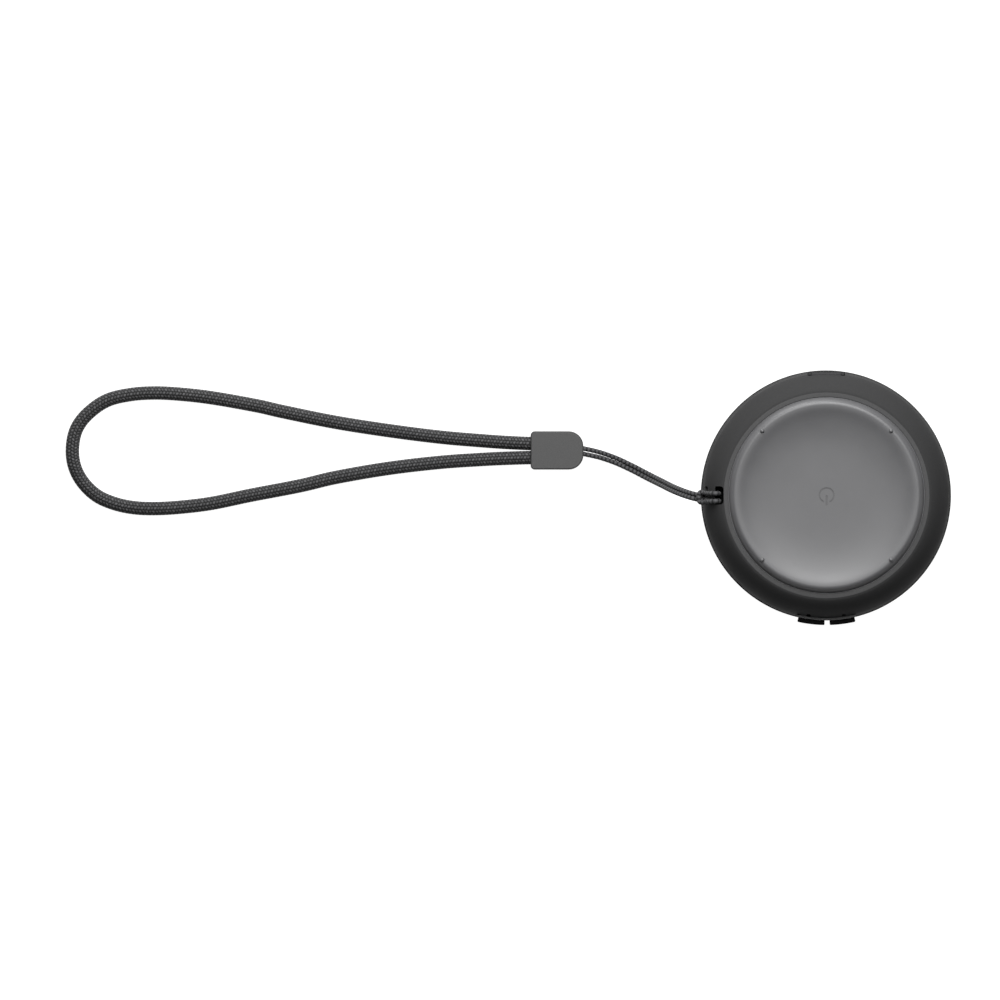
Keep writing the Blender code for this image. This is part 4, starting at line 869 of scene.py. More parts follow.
@dataclass(frozen=True)
class Finishes:
    """Every finish on the speaker, by the record's slots."""

    casing: MouldedPlastic = MouldedPlastic(
        "casing plastic", (0.0245, 0.0245, 0.0248), roughness=0.5, specular=0.003, zones=(
            # The flat ring round the key, then a thin pale line round the side over the keys:
            # painted light, standing for the floor's light caught on that shaded edge.
            Zone(Measure.RADIUS, start=37.78 * MM, full=37.68 * MM, shade=1.9),
            Zone(Measure.RADIUS, start=44.9 * MM, full=45.2 * MM, shade=5.0, above=22.45 * MM),
        ))
    key: Silicone = Silicone(
        "key silicone", (0.0590, 0.0590, 0.0612), roughness=0.46, specular=0.4, dust=0.05)
    cover: MouldedPlastic = MouldedPlastic(
        "cover rubber", (0.029, 0.029, 0.03), roughness=0.6, specular=0.02, zones=(
            # Painted shade: the two ends, round the notches, are darkened as though in shadow.
            Zone(Measure.SIDE, start=5.2 * MM, full=5.5 * MM, shade=0.3, above=20 * MM),
        ))
    rubber: Silicone = Silicone(
        "black rubber", (0.0022, 0.0022, 0.0023), roughness=0.6, specular=0.05)
    grille: Metal = Metal(
        "grille metal", (0.035, 0.035, 0.037), roughness=0.5, working=Working.COATED)
    cloth: WovenCloth = WovenCloth("grille cloth", (0.012, 0.012, 0.013))
    inside: MouldedPlastic = MouldedPlastic(
        "inner plastic", (0.05, 0.05, 0.05), roughness=0.55, specular=0.4)
    steel: Metal = Metal("steel", (0.5, 0.5, 0.5), roughness=0.3)
    turned: Metal = Metal(
        "turned steel", (0.45, 0.45, 0.46), roughness=0.3, working=Working.TURNED)
    paper: Fibrous = Fibrous(
        "cone paper", (0.03, 0.03, 0.03), fibre=0.5 * MM, depth=0.05 * MM)
    copper: Wound = Wound("copper", (0.7, 0.35, 0.18), pitch=0.2 * MM, metallic=1.0)
    board: Laminate = Laminate(
        "circuit board", mask=(0.01, 0.09, 0.04), track=(0.04, 0.2, 0.09))
    chip: Fibrous = Fibrous(
        "chip resin", (0.02, 0.02, 0.021), fibre=0.15 * MM, depth=0.006 * MM, roughness=0.5)
    cell: MouldedPlastic = MouldedPlastic(
        "cell wrap", (0.3, 0.34, 0.42), roughness=0.3, specular=0.5,
        grain=1.2 * MM, depth=0.02 * MM)
    foam: Fibrous = Fibrous("foam tape", (0.06, 0.06, 0.06), fibre=0.35 * MM, depth=0.12 * MM)
    wire: Wound = Wound("wire cover", (0.3, 0.02, 0.02), pitch=0.8 * MM, metallic=0.0)
    loop: BraidedYarn = BraidedYarn(
        "braided cord", (0.036, 0.036, 0.037), light=2.3, slant=0.3, offset=0.5, dim=0.35)
    thin: BraidedYarn = BraidedYarn(
        "thin cord", (0.026, 0.026, 0.027), light=2.4, slant=0.1, parted=0.9)
    clasp: MouldedPlastic = MouldedPlastic(
        "clasp plastic", (0.036, 0.036, 0.036), roughness=0.5, specular=0.03, zones=(
            # Painted shade: the flat top is kept paler and the rounded edge below it darker, as
            # light and shade fall on them.
            Zone(Measure.HEIGHT, start=8.34 * MM, full=8.38 * MM, shade=1.52),
        ))


# ---------------------------------------------------------------------------- studio


@dataclass(frozen=True)
class Softbox:
    """A square softbox that is aimed at the speaker."""

    tilt: float  # from straight above, in degrees
    direction: float  # seen from above, in degrees
    power: float


@dataclass
class Studio:
    """The camera over the speaker's base, the lights and the floor."""

    pixel: float = 0.3677 * MM  # what a pixel of the frame covers
    body_pixel: Flat = (826.0, 495.4)  # where the speaker's axis is in the frame
    frame_side: int = 1000
    sensor: float = 36.0
    far: float = 14.0  # the camera's height
    sight: float = 100.0  # how far it sees
    subject: float = 12 * MM  # the height that the pixel's size is true at
    softboxes: tuple[Softbox, ...] = (
        Softbox(20.0, 84.0, 13.6), Softbox(40.0, 84.0, 19.0), Softbox(74.0, 105.0, 14.0))
    light_aim: Place = (-0.02, 0.0, 0.0)
    light_far: float = 1.2
    light_side: float = 0.6
    fill: float = 0.01
    floor_side: float = 8.0
    floor_height: float = -0.1 * MM
    floor_colour: Colour = (0.14, 0.14, 0.14)
    floor_glow: float = 1.0  # keeps it white between the softboxes' pools

    def camera(self) -> None:
        """Sets the camera straight above, the picture's top towards +Y."""
        data = bpy.data.cameras.new("camera")
        data.sensor_width = self.sensor
        width = self.pixel * self.frame_side
        data.lens = self.sensor * (self.far - self.subject) / width
        data.clip_end = self.sight
        camera = bpy.data.objects.new("camera", data)
        middle = self.frame_side / 2
        camera.location = (
            (middle - self.body_pixel[0]) * self.pixel,
            (self.body_pixel[1] - middle) * self.pixel,
            self.far,
        )
        bpy.context.scene.collection.objects.link(camera)
        bpy.context.scene.camera = camera

    def light(self) -> None:
        """Hangs the softboxes between straight above and beyond the picture's top edge."""
        for softbox in self.softboxes:
            data = bpy.data.lights.new("softbox", "AREA")
            data.shape = "SQUARE"
            data.size = self.light_side
            data.energy = softbox.power
            lamp = bpy.data.objects.new("softbox", data)
            tilt, turn = math.radians(softbox.tilt), math.radians(softbox.direction)
            flat = math.sin(tilt)
            away = Vector((flat * math.cos(turn), flat * math.sin(turn), math.cos(tilt)))
            lamp.location = Vector(self.light_aim) + away * self.light_far
            lamp.rotation_mode = "QUATERNION"
            lamp.rotation_quaternion = away.to_track_quat("Z", "Y")
            bpy.context.scene.collection.objects.link(lamp)
        world = bpy.data.worlds.new("room")
        world.use_nodes = True
        sky = world.node_tree.nodes["Background"]
        sky.inputs["Color"].default_value = (1, 1, 1, 1)
        sky.inputs["Strength"].default_value = self.fill
        bpy.context.scene.world = world

    def floor(self) -> None:
        """Lays the white floor that the speaker lies on."""
        bpy.ops.object.select_all(action="DESELECT")
        bpy.ops.mesh.primitive_plane_add(
            size=self.floor_side, location=(0, 0, self.floor_height))
        floor = bpy.context.object
        floor.name = "floor"
        made = Shader("floor white", self.floor_colour, 0.9, specular=0.0)
        made.surface.inputs["Emission Color"].default_value = (1, 1, 1, 1)
        made.surface.inputs["Emission Strength"].default_value = self.floor_glow
        floor.data.materials.append(made.material)
        floor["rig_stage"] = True

    def build(self) -> None:
        """Sets up the camera, the lights, the floor and the plain colour transform."""
        bpy.context.scene.view_settings.view_transform = "Standard"
        self.camera()
        self.light()
        self.floor()


# ------------------------------------------------------------------------- the strap


class Route:
    """A line of points."""

    def __init__(self, points: list[Vector]) -> None:
        """Keeps the points."""
        self.points = points

    @classmethod
    def through(cls, marks: Sequence[Vector], spacing: float) -> "Route":
        """Runs a smooth line through given points.

        Args:
            marks: where it goes.
            spacing: about how far apart its own points are.

        Returns:
            The line.
        """
        ends = [2 * marks[0] - marks[1], *marks, 2 * marks[-1] - marks[-2]]
        points = []
        for before, start, end, after in zip(ends, ends[1:], ends[2:], ends[3:]):
            span = (end - start).length
            count = max(1, round(span / spacing))
            leave = (end - before) * span / (end - before).length
            arrive = (after - start) * span / (after - start).length
            for step in range(count):
                t = step / count
                points.append(
                    start * (2 * t**3 - 3 * t**2 + 1) + leave * (t**3 - 2 * t**2 + t)
                    + end * (3 * t**2 - 2 * t**3) + arrive * (t**3 - t**2)
                )
        return cls([*points, marks[-1].copy()])

    @property
    def length(self) -> float:
        """How long the line is."""
        return sum((b - a).length for a, b in zip(self.points, self.points[1:]))

    def evenly(self, spacing: float) -> "Route":
        """The same line with its points evenly apart."""
        line = np.array(self.points)
        steps = np.concatenate([[0], np.cumsum(np.linalg.norm(np.diff(line, axis=0), axis=1))])
        count = max(2, round(steps[-1] / spacing))
        places = np.linspace(0, steps[-1], count + 1)
        even = np.stack([np.interp(places, steps, line[:, i]) for i in range(3)], 1)
        return Route([Vector(point) for point in even])

    def frames(self, level: float = 0.0) -> Iterator[tuple[Vector, Vector, Vector]]:
        """Each point with two directions across the line, carried along.

        Args:
            level: how fast the first of them turns back to level, from 0 to 1.

        Yields:
            The point and the two directions.
        """
        line = self.points
        side = Vector((0, 0, 1)).cross(line[1] - line[0]).normalized()
        for index, point in enumerate(line):
            ahead = line[min(index + 1, len(line) - 1)] - line[max(index - 1, 0)]
            ahead.normalize()
            flat = Vector((0, 0, 1)).cross(ahead) * level
            side = side + (flat if side.dot(flat) > 0 else -flat)
            side = (side - ahead * side.dot(ahead)).normalized()
            yield point, side, ahead.cross(side)


@dataclass
class BraidedCord:
    """A round braided cord along a route."""

    name: str
    radius: float
    columns: int  # of stitches round it
    row: float  # between two stitches of a column
    neck: float  # how much thinner it is between two rows
    step: float  # between two rings of its mesh
    sides: int

    def build(self, route: Route) -> Piece:
        """Makes the cord's mesh, closed at both ends.

        Args:
            route: the line that it follows.

        Returns:
            The cord, with the coordinates `stitch`.
        """
        even = route.evenly(self.step)
        rings = len(even.points)
        rows = np.arange(rings) * self.step / self.row
        reach = self.radius - self.neck * (1 - np.abs(np.sin(rows * math.pi)))
        centres, sides, ups = (np.array(part)[:, None] for part in zip(*even.frames(0.1)))
        turns = (np.arange(self.sides) / self.sides * math.tau)[:, None]
        points = centres + reach[:, None, None] * (np.cos(turns) * sides + np.sin(turns) * ups)

        ring, side = np.meshgrid(np.arange(rings - 1), np.arange(self.sides), indexing="ij")
        after = (side + 1) % self.sides
        corners = ((0, side), (0, after), (1, after), (1, side))
        faces = [(ring + up) * self.sides + at for up, at in corners]
        last = (rings - 1) * self.sides
        caps = [list(range(self.sides))[::-1], list(range(last, last + self.sides))]
        mesh = bpy.data.meshes.new(self.name)
        mesh.from_pydata(points.reshape(-1, 3).tolist(), [],
                         np.stack(faces, 2).reshape(-1, 4).tolist() + caps)
        start = (0.5 - self.columns / 4) % 1  # so that a column faces up
        places = [
            np.stack([(side + on) / self.sides * self.columns + start, rows[ring + up]], 2)
            for on, up in ((0, 0), (1, 0), (1, 1), (0, 1))
        ]
        flat = np.concatenate([np.stack(places, 2).ravel(), np.zeros(4 * self.sides)])
        mesh.uv_layers.new(name="stitch").data.foreach_set("uv", flat.astype(np.float32))
        mesh.shade_smooth()
        cord = bpy.data.objects.new(self.name, mesh)
        bpy.context.scene.collection.objects.link(cord)
        return cord


@dataclass
class Strap:
    """The thin cord, the clasp and the wrist loop. Route points are in millimetres."""

    cord_radius: float = 0.86 * MM
    cord_swell: float = 0.03 * MM  # how much thicker it is in the middle of a stitch
    cord_step: float = 0.3 * MM  # between two points of its line
    cord_spacing: Flat = (1.95, 1.68)  # between the strands, at the clasp and at the casing
    cord_rest: float = 1.2
    loop_radius: float = 2.5 * MM
    loop_step: float = 1.0 * MM
    edge: float = 46.0  # the casing's edge
    bar_under: float = 28.9
    hitch_middle: float = -0.7
    clasp_low: Flat = (-108.6, 9.5)
    clasp_high: Flat = (-89.2, 23.6)
    clasp_height: float = 8.4
    clasp_corners: tuple[float, float, float, float] = (1.5, 5.4, 5.4, 1.5)
    clasp_round: float = 0.6 * MM
    into_clasp: float = 3.0  # how far the cords run on into the clasp
    channel_play: float = 0.1 * MM  # round a cord in the clasp
    channel_start: float = 0.4 * MM  # how far behind the cord's end a channel starts
    channel_length: float = 6.0 * MM  # from the cord's end outwards

    tail: tuple[Place, ...] = (
        (-42.4, 16.1, 0.113), (-40.0, 15.6, 0.091), (-36.5, 14.7, 0.038), (-30.9, 12.7, 0.0),
        (-24.7, 9.8, 0.0), (-20.5, 7.6, 0.042), (-17.0, 5.8, 0.166), (-14.0, 4.3, 0.347),
        (-11.0, 2.75, 0.559), (-8.0, 1.45, 0.755), (-5.2, 0.42, 0.898), (-2.8, -0.28, 0.977),
    )
    hitch: tuple[Place, ...] = (
        (-0.7, 0.86, -1.2), (1.5, 0.88, -1.2), (3.6, 0.95, -1.15), (5.4, 1.1, -0.5),
        (6.3, 1.2, 1.7), (6.5, 1.3, 4.3), (6.3, 1.4, 6.4), (5.1, 1.4, 7.5), (3.7, 1.45, 6.4),
        (2.6, 1.45, 4.3), (1.6, 1.55, 2.3), (0.7, 1.8, 1.4), (-0.15, 1.9, 1.05),
        (-0.75, 1.2, 1.0),
    )
    hitch_centre: Place = (-0.9, 0.0, 1.0)
    loop: tuple[Place, ...] = (
        (-0.3, 19.1, 4.2), (-7.4, 19.4, 3.5), (-16.45, 20.0, 2.6), (-32.9, 21.4, 2.6),
        (-52.6, 23.9, 2.6), (-72.3, 27.0, 2.6), (-92.0, 31.0, 2.6), (-100.3, 32.9, 2.6),
        (-117.9, 36.0, 2.6), (-129.6, 37.3, 2.6), (-138.45, 37.7, 2.6), (-147.2, 37.1, 2.6),
        (-156.0, 34.9, 2.6), (-163.2, 29.8, 2.6), (-167.2, 24.2, 2.6), (-168.6, 17.2, 2.6),
        (-167.8, 10.7, 2.6), (-164.8, 4.9, 2.6), (-159.6, -0.1, 2.6), (-153.1, -3.0, 2.6),
        (-146.1, -4.5, 2.6), (-138.45, -4.85, 2.6), (-129.6, -4.4, 2.6), (-117.9, -3.0, 2.6),
        (-103.3, 0.0, 2.6), (-84.6, 3.6, 2.6), (-72.3, 6.5, 2.6), (-52.6, 9.9, 2.6),
        (-32.9, 12.2, 2.6), (-16.45, 13.3, 2.6), (-7.4, 13.7, 3.5), (-0.3, 13.9, 4.2),
    )

    def strand(self, side: int) -> list[Vector]:
        """One strand's points from the clasp to the hitch, on one side of the middle."""
        climb = self.bar_under + self.hitch[0][2] - self.cord_rest
        middle = [
            Vector((x - self.edge, y, self.cord_rest + share * climb)) for x, y, share in self.tail
        ]
        ahead = [*middle[1:], 2 * middle[-1] - middle[-2]]
        behind = [2 * middle[0] - middle[1], *middle[:-1]]
        strand = []
        for index, (point, after, before) in enumerate(zip(middle, ahead, behind)):
            run = (after - before).to_2d().normalized()
            spacing = np.interp(index, (1, 4), self.cord_spacing)
            strand.append(point + Vector((-run.y, run.x, 0)) * side * spacing / 2)
        inside = strand[0] + (strand[0] - strand[1]).normalized() * self.into_clasp
        return [inside, *strand]

    def beside_bar(self, x: float, y: float, z: float) -> Vector:
        """A point of the hitch, from its place beside the casing's bar."""
        return Vector((x - self.edge, self.hitch_middle + y, self.bar_under + z))

    def thin_route(self) -> Route:
        """The thin cord's line: out of the clasp, round the bar and back into the clasp."""
        halves = [
            self.strand(side) + [self.beside_bar(x, side * y, z) for x, y, z in self.hitch]
            for side in (1, -1)
        ]
        points = halves[0] + [self.beside_bar(*self.hitch_centre)] + halves[1][::-1]
        return Route.through([point * MM for point in points], self.cord_step)

    def loop_route(self) -> Route:
        """The wrist loop's line, both its ends in the clasp."""
        far = self.clasp_low[0]
        points = [Vector((far + x, y, z)) for x, y, z in self.loop]
        first = points[0] + Vector((self.into_clasp, 0.0, 0.0))
        last = points[-1] + Vector((self.into_clasp, 0.0, 0.0))
        return Route.through([point * MM for point in [first, *points, last]], self.loop_step)

    def clasp_half(self, name: str, low: float, high: float, tunnels: list[Piece]) -> Piece:
        """One half of the clasp, with the cords' channels in it."""
        outline = rounded(self.clasp_low, self.clasp_high, self.clasp_corners)
        half = Bench.slab(name, [(x * MM, y * MM) for x, y in outline], low, high)
        Bench.round(half, self.clasp_round, 4, 50)
        Bench.combine(half, Bench.gather("channels", tunnels), Join.CUT)
        return Bench.smooth(half)

    def channels(self) -> list[Piece]:
        """The bodies that cut the cords' ways into the clasp."""
        made = []
        for route, radius in (
            (self.thin_route(), self.cord_radius), (self.loop_route(), self.loop_radius)
        ):
            for start, after in ((route.points[0], route.points[3]),
                                 (route.points[-1], route.points[-4])):
                way = (after - start).normalized()
                made.append(Bench.rod(
                    "channel", radius + self.channel_play, start - way * self.channel_start,
                    start + way * self.channel_length, SMALL_STEPS))
        return made

    def build(self, finishes: Finishes) -> None:
        """Makes the strap's four pieces: the clasp's two halves and the two cords."""
        plastic = finishes.clasp.material()
        middle = self.clasp_height * MM / 2
        base = self.clasp_half("clasp_base", 0.0, middle - GAP / 4, self.channels())
        top = self.clasp_half("clasp_top", middle + GAP / 4, 2 * middle, self.channels())
        Bench.dress(base, "speaker", "clasp_plastic", plastic, "strap_clasp_base")
        Bench.dress(top, "speaker", "clasp_plastic", plastic, "strap_clasp_top")

        thin_route, loop_route = self.thin_route(), self.loop_route()
        thin = BraidedCord(
            "thin_cord", self.cord_radius + self.cord_swell, columns=2, row=1.57 * MM,
            neck=0.07 * MM, step=0.14 * MM, sides=20,
        ).build(thin_route)
        Bench.dress(thin, "speaker", "thin_cord", finishes.thin.material(), "strap_cord")
        tuple(thin_route.points[0])
        thin_route.length
        [tuple(point) for point in thin_route.evenly(0.4 * MM).points]
        loop = BraidedCord(
            "wrist_loop", self.loop_radius, columns=12, row=1.21 * MM,
            neck=0.04 * MM, step=0.2 * MM, sides=48,
        ).build(loop_route)
        Bench.dress(loop, "speaker", "braided_cord", finishes.loop.material(), "strap_loop")
        tuple(loop_route.points[0])
        loop_route.length
        [tuple(point) for point in loop_route.evenly(MM).points]
        log.info("thin cord %.0f mm, wrist loop %.0f mm",
                 thin_route.length / MM, loop_route.length / MM)


# ------------------------------------------------------------------------ the casing


@dataclass(frozen=True)
class KeyPlace:
    """Where the two volume keys are round the casing, in degrees and in metres."""

    left: Flat = (-102.85, -90.75)
    right: Flat = (-88.4, -76.95)
    low: float = 14.0 * MM
    high: float = 22.0 * MM

    def ends(self, side: int, more: float = 0.0) -> tuple[float, float]:
        """The ends of the left key (-1) or the right one (1), `more` degrees beyond each."""
        low, high = self.left if side < 0 else self.right
        return low - more, high + more


@dataclass(frozen=True)
class ScrewRing:
    """Screws on a circle round the speaker's axis, with their bosses and holes."""

    count: int
    first: float  # the first one's direction, in degrees
    circle: float
    boss: float  # a boss's radius
    boss_low: float
    hole: float  # a hole's radius
    hole_low: float
    hole_high: float

    def rods(self, name: str, radius: float, low: float, high: float) -> list[Piece]:
        """Builds an upright rod at each screw.

        Args:
            name: the rods' name.
            radius: their radius.
            low: the height of their lower ends.
            high: the height of their upper ends.

        Returns:
            The rods.
        """
        return [
            Bench.rod(name, radius, Vector((x, y, low)), Vector((x, y, high)), SMALL_STEPS)
            for x, y in arc((0, 0), self.circle, self.first, self.first + 360, self.count)[:-1]
        ]

    def bosses(self, high: float) -> list[Piece]:
        """The bosses, up to a height."""
        return self.rods("pad", self.boss, self.boss_low, high)

    def holes(self) -> list[Piece]:
        """The shapes of the holes."""
        return self.rods("hole", self.hole, self.hole_low, self.hole_high)


@dataclass
class Casing:
    """The rear shell, the front bezel, and the seal between them."""

    body_radius: float = 46.0 * MM
    seam_step: float = 0.4 * MM
    bezel_height: float = 9.0 * MM
    wall: float = 2.2 * MM
    shoulder_height: float = 14.0 * MM
    shoulder_width: float = 9.6 * MM
    shoulder_rise: float = 24.6 * MM
    land_height: float = 38.0 * MM
    land_inner: float = 36.15 * MM
    land_outer: float = 37.45 * MM
    land_edge: float = 0.14 * MM  # how far the ring's rounded outer edge falls
    land_round: Flat = (0.2 * MM, 0.02 * MM)  # out and down to the round edge's middle
    roof_top: float = 35.9 * MM
    roof_under: float = 33.9 * MM
    collar_outer: float = 10.5 * MM  # of the roof's thicker middle, under the key's stem
    collar_inner: float = 9.5 * MM
    collar_low: float = 33.1 * MM
    stem_hole: float = 3.0 * MM
    seat_radius: float = 7.5 * MM  # of the bellows' seat
    seat_height: float = 34.6 * MM
    edge_round: float = 0.1 * MM
    bezel_round: float = 2.6 * MM
    grille_radius: float = 40.2 * MM
    tunnel_half: float = 3.35 * MM
    window_inner: float = 37.8 * MM
    bar_inner: float = 40.9 * MM
    window_corner: float = 1.3 * MM
    bar_under: float = 28.9 * MM
    way_corner: float = 1.0 * MM  # of the tunnel's outer mouth
    tunnel_floor: float = 24.7 * MM
    tunnel_wall: float = 2.1 * MM
    port_half: float = 6.875 * MM
    port_low: float = 13.0 * MM
    port_high: float = 26.1 * MM
    port_floor: float = 42.4 * MM
    port_corner: float = 1.5 * MM
    port_wall: float = 1.8 * MM
    port_wall_back: float = 40.9 * MM
    socket_half: float = 4.8 * MM  # the hole in the port's floor
    socket_back: float = 39.0 * MM
    socket_low: float = 17.55 * MM
    socket_high: float = 21.95 * MM
    socket_corner: float = 0.6 * MM
    shelf_low: Place = (-6.6 * MM, 35.5 * MM, 15.4 * MM)  # the charging board's shelf
    shelf_high: Place = (6.6 * MM, 41.5 * MM, 16.6 * MM)
    post_across: Flat = (11.8 * MM, 13.6 * MM)  # of the posts beside the keys' board
    post_back: float = -35.5 * MM
    post_low: float = 12.5 * MM
    post_high: float = 23.5 * MM
    pad_inset: float = 0.8 * MM  # how far the pads stay inside the shell's outer face
    pad_into_roof: float = 0.7 * MM
    brow_inner: float = 43.2 * MM
    brow_reach: float = 45.9 * MM
    brow_low: float = 22.6 * MM
    brow_high: float = 23.3 * MM
    brow_round: float = 0.2 * MM
    brow_more: float = 1.0  # how far it runs past the keys, in degrees
    slot_inner: float = 40.5 * MM
    slot_play: float = 0.35 * MM  # over and under a key
    slot_play_turn: float = 0.44  # beside a key, in degrees
    # The small marks over the keys, in millimetres: their places, depths and size.
    mark_across: Flat = (6.2, 6.8)
    mark_y: float = -44.15
    mark_floors: Flat = (19.0, 24.4)  # on the left and on the right
    mark_top: float = 30.0
    mark_radius: float = 0.5 * MM
    keys: KeyPlace = KeyPlace()
    case_screws: ScrewRing = ScrewRing(
        4, 45, 39.0 * MM, boss=2.8 * MM, boss_low=10.6 * MM,
        hole=1.3 * MM, hole_low=8 * MM, hole_high=18.4 * MM)
    board_screws: ScrewRing = ScrewRing(
        3, 60, 30.0 * MM, boss=2.6 * MM, boss_low=29.1 * MM,
        hole=1.1 * MM, hole_low=26 * MM, hole_high=32.7 * MM)
    bezel_hole_low: float = 4.0 * MM
    bezel_hole_high: float = 12.0 * MM
    head_radius: float = 2.5 * MM  # of the sinks for the screws' heads
    head_low: float = 2.1 * MM
    head_high: float = 5.6 * MM

    @property
    def shell_radius(self) -> float:
        """The rear shell's widest radius."""
        return self.body_radius - self.seam_step

    @property
    def shell_low(self) -> float:
        """The height of the rear shell's lower edge."""
        return self.bezel_height + GAP

    def side(self, inset: float, top: float, count: int) -> list[Flat]:
        """The side's outline, up to a height.

        Args:
            inset: how far inside the outer face it runs.
            top: the height that it ends at.
            count: its steps.

        Returns:
            Its (radius, height) points, from the shoulder up.
        """
        centre = self.shell_radius - self.shoulder_width - inset
        rise = self.shoulder_rise - inset
        last = math.asin(min(1.0, (top - self.shoulder_height) / rise))
        turns = [last * i / count for i in range(count + 1)]
        return [
            (centre + self.shoulder_width * math.cos(t), self.shoulder_height + rise * math.sin(t))
            for t in turns
        ]

    def shell_body(self) -> Piece:
        """The cup that the openings are cut into."""
        outer = self.side(0.0, self.land_height - self.land_edge, 40)
        inner = self.side(self.wall, self.roof_under, 16)
        inner_edge, round_in = self.land_inner, self.edge_round
        profile = [(inner_edge + round_in, self.land_height)]
        profile += [(self.land_outer, self.land_height)]
        out, down = self.land_round
        profile += [(self.land_outer + out, self.land_height - down)]
        profile += outer[::-1]
        profile += [(self.shell_radius, self.shell_low + round_in)]
        profile += [(self.shell_radius - round_in, self.shell_low)]
        profile += [(self.shell_radius - self.wall, self.shell_low)]
        profile += inner
        profile += [(self.collar_outer, self.roof_under), (self.collar_inner, self.collar_low)]
        profile += [(self.stem_hole, self.collar_low), (self.stem_hole, self.seat_height)]
        profile += [(self.seat_radius, self.seat_height), (self.seat_radius, self.roof_top)]
        profile += [(inner_edge, self.roof_top), (inner_edge, self.land_height - round_in)]
        return Bench.turn("rear_casing", profile)

    def pads(self) -> Piece:
        """What stands inside the shell: the tunnel's walls, the port's frame, the bosses."""
        reach = self.tunnel_half + self.tunnel_wall
        frame_half = self.port_half + self.port_wall
        made = [
            Bench.block("pad", (-self.body_radius, -reach, self.tunnel_floor - self.tunnel_wall),
                        (self.tunnel_wall - self.window_inner, reach, self.roof_under + MM)),
            Bench.block("pad", (-frame_half, self.port_wall_back, self.port_low - self.port_wall),
                        (frame_half, self.body_radius, self.port_high + self.port_wall)),
            Bench.block("pad", self.shelf_low, self.shelf_high),
        ]
        for side in (-1, 1):
            ends = sorted(side * x for x in self.post_across)
            made.append(Bench.block("pad", (ends[0], -self.shell_radius, self.post_low),
                                    (ends[1], self.post_back, self.post_high)))
        top = self.roof_under + self.pad_into_roof
        made += self.case_screws.bosses(top) + self.board_screws.bosses(top)
        pads = Bench.gather("pads", made)
        outer = self.side(self.pad_inset, self.land_height - MM, 24)
        core = [(0.0, outer[-1][1]), *outer[::-1], (outer[0][0], self.shell_low),
                (0.0, self.shell_low)]
        return Bench.combine(pads, Bench.turn("core", core, 96), Join.TRIM)

    def openings(self) -> Piece:
        """What is cut out of the shell: the lanyard's tunnel, the port, slots and holes."""
        beyond = self.body_radius + PAST
        window = Bench.slab(
            "window",
            rounded((-self.bar_inner, -self.tunnel_half), (-self.window_inner, self.tunnel_half),
                    [self.window_corner * share for share in (0.35, 1, 1, 0.35)]),
            self.tunnel_floor, self.land_height + PAST,
        )
        mouth = rounded((-self.tunnel_half, self.tunnel_floor), (self.tunnel_half, self.bar_under),
                        [self.way_corner] * 4)
        way_out = Bench.extrude("way_out", [Vector((-beyond, y, z)) for y, z in mouth],
                                Vector((beyond - self.window_inner, 0.0, 0.0)))
        made = [window, way_out]
        half = self.port_half
        pocket = rounded((-half, self.port_low), (half, self.port_high), [self.port_corner] * 4)
        made.append(Bench.slab("pocket", pocket, self.port_floor, beyond, standing=True))
        made.append(Bench.block(
            "port_hole", (-self.socket_half, self.socket_back, self.socket_low),
            (self.socket_half, self.port_floor + MM, self.socket_high), self.socket_corner))
        for side, floor in zip((-1, 1), self.mark_floors):
            ends = self.keys.ends(side, self.slot_play_turn)
            made.append(Bench.slab("slot", sector(self.slot_inner, beyond, *ends, 12),
                                   self.keys.low - self.slot_play,
                                   self.keys.high + self.slot_play))
            for x in self.mark_across:
                low = Vector((side * x, self.mark_y, floor)) * MM
                high = Vector((side * x, self.mark_y, self.mark_top)) * MM
                made.append(Bench.rod("mark", self.mark_radius, low, high, SMALL_STEPS))
        made += self.case_screws.holes() + self.board_screws.holes()
        return Bench.gather("openings", made)

    def brow(self) -> Piece:
        """The narrow ledge over the volume keys."""
        low = self.keys.ends(-1, self.brow_more)[0]
        high = self.keys.ends(1, self.brow_more)[1]
        brow = Bench.slab("brow", sector(self.brow_inner, self.brow_reach, low, high, 32),
                          self.brow_low, self.brow_high)
        return Bench.round(brow, self.brow_round, 3, 40)

    def rear(self) -> Piece:
        """The rear shell."""
        shell = self.shell_body()
        Bench.combine(shell, self.pads(), Join.ADD)
        Bench.combine(shell, self.brow(), Join.ADD)
        Bench.combine(shell, self.openings(), Join.CUT)
        return Bench.smooth(shell)

    def bezel(self) -> Piece:
        """The ring round the front."""
        edge, top = self.body_radius, self.bezel_height
        hole = self.grille_radius + GAP
        flange_low, flange_high, flange_in = 2.3 * MM, 7.5 * MM, 35.5 * MM
        spigot, spigot_in, spigot_top = 43.1 * MM, 41.2 * MM, 10.3 * MM
        groove, groove_out = top - 0.9 * MM, spigot + 1.8 * MM
        edge_break = 0.2 * MM
        profile = arc((edge - GAP, top - GAP), GAP, 90, 0, 4)
        profile += arc((edge - self.bezel_round, self.bezel_round), self.bezel_round, 0, -90, 14)
        profile += [(hole + edge_break, 0.0), (hole, edge_break), (hole, flange_low)]
        profile += [(flange_in, flange_low), (flange_in, flange_high), (spigot_in, flange_high)]
        profile += [(spigot_in, spigot_top), (spigot, spigot_top), (spigot, groove)]
        profile += [(groove_out, groove), (groove_out, top)]
        bezel = Bench.turn("front_ring", profile)
        screws = self.case_screws
        holes = screws.rods("hole", screws.hole, self.bezel_hole_low, self.bezel_hole_high)
        holes += screws.rods("sink", self.head_radius, self.head_low, self.head_high)
        Bench.combine(bezel, Bench.gather("holes", holes), Join.CUT)
        return Bench.smooth(bezel)

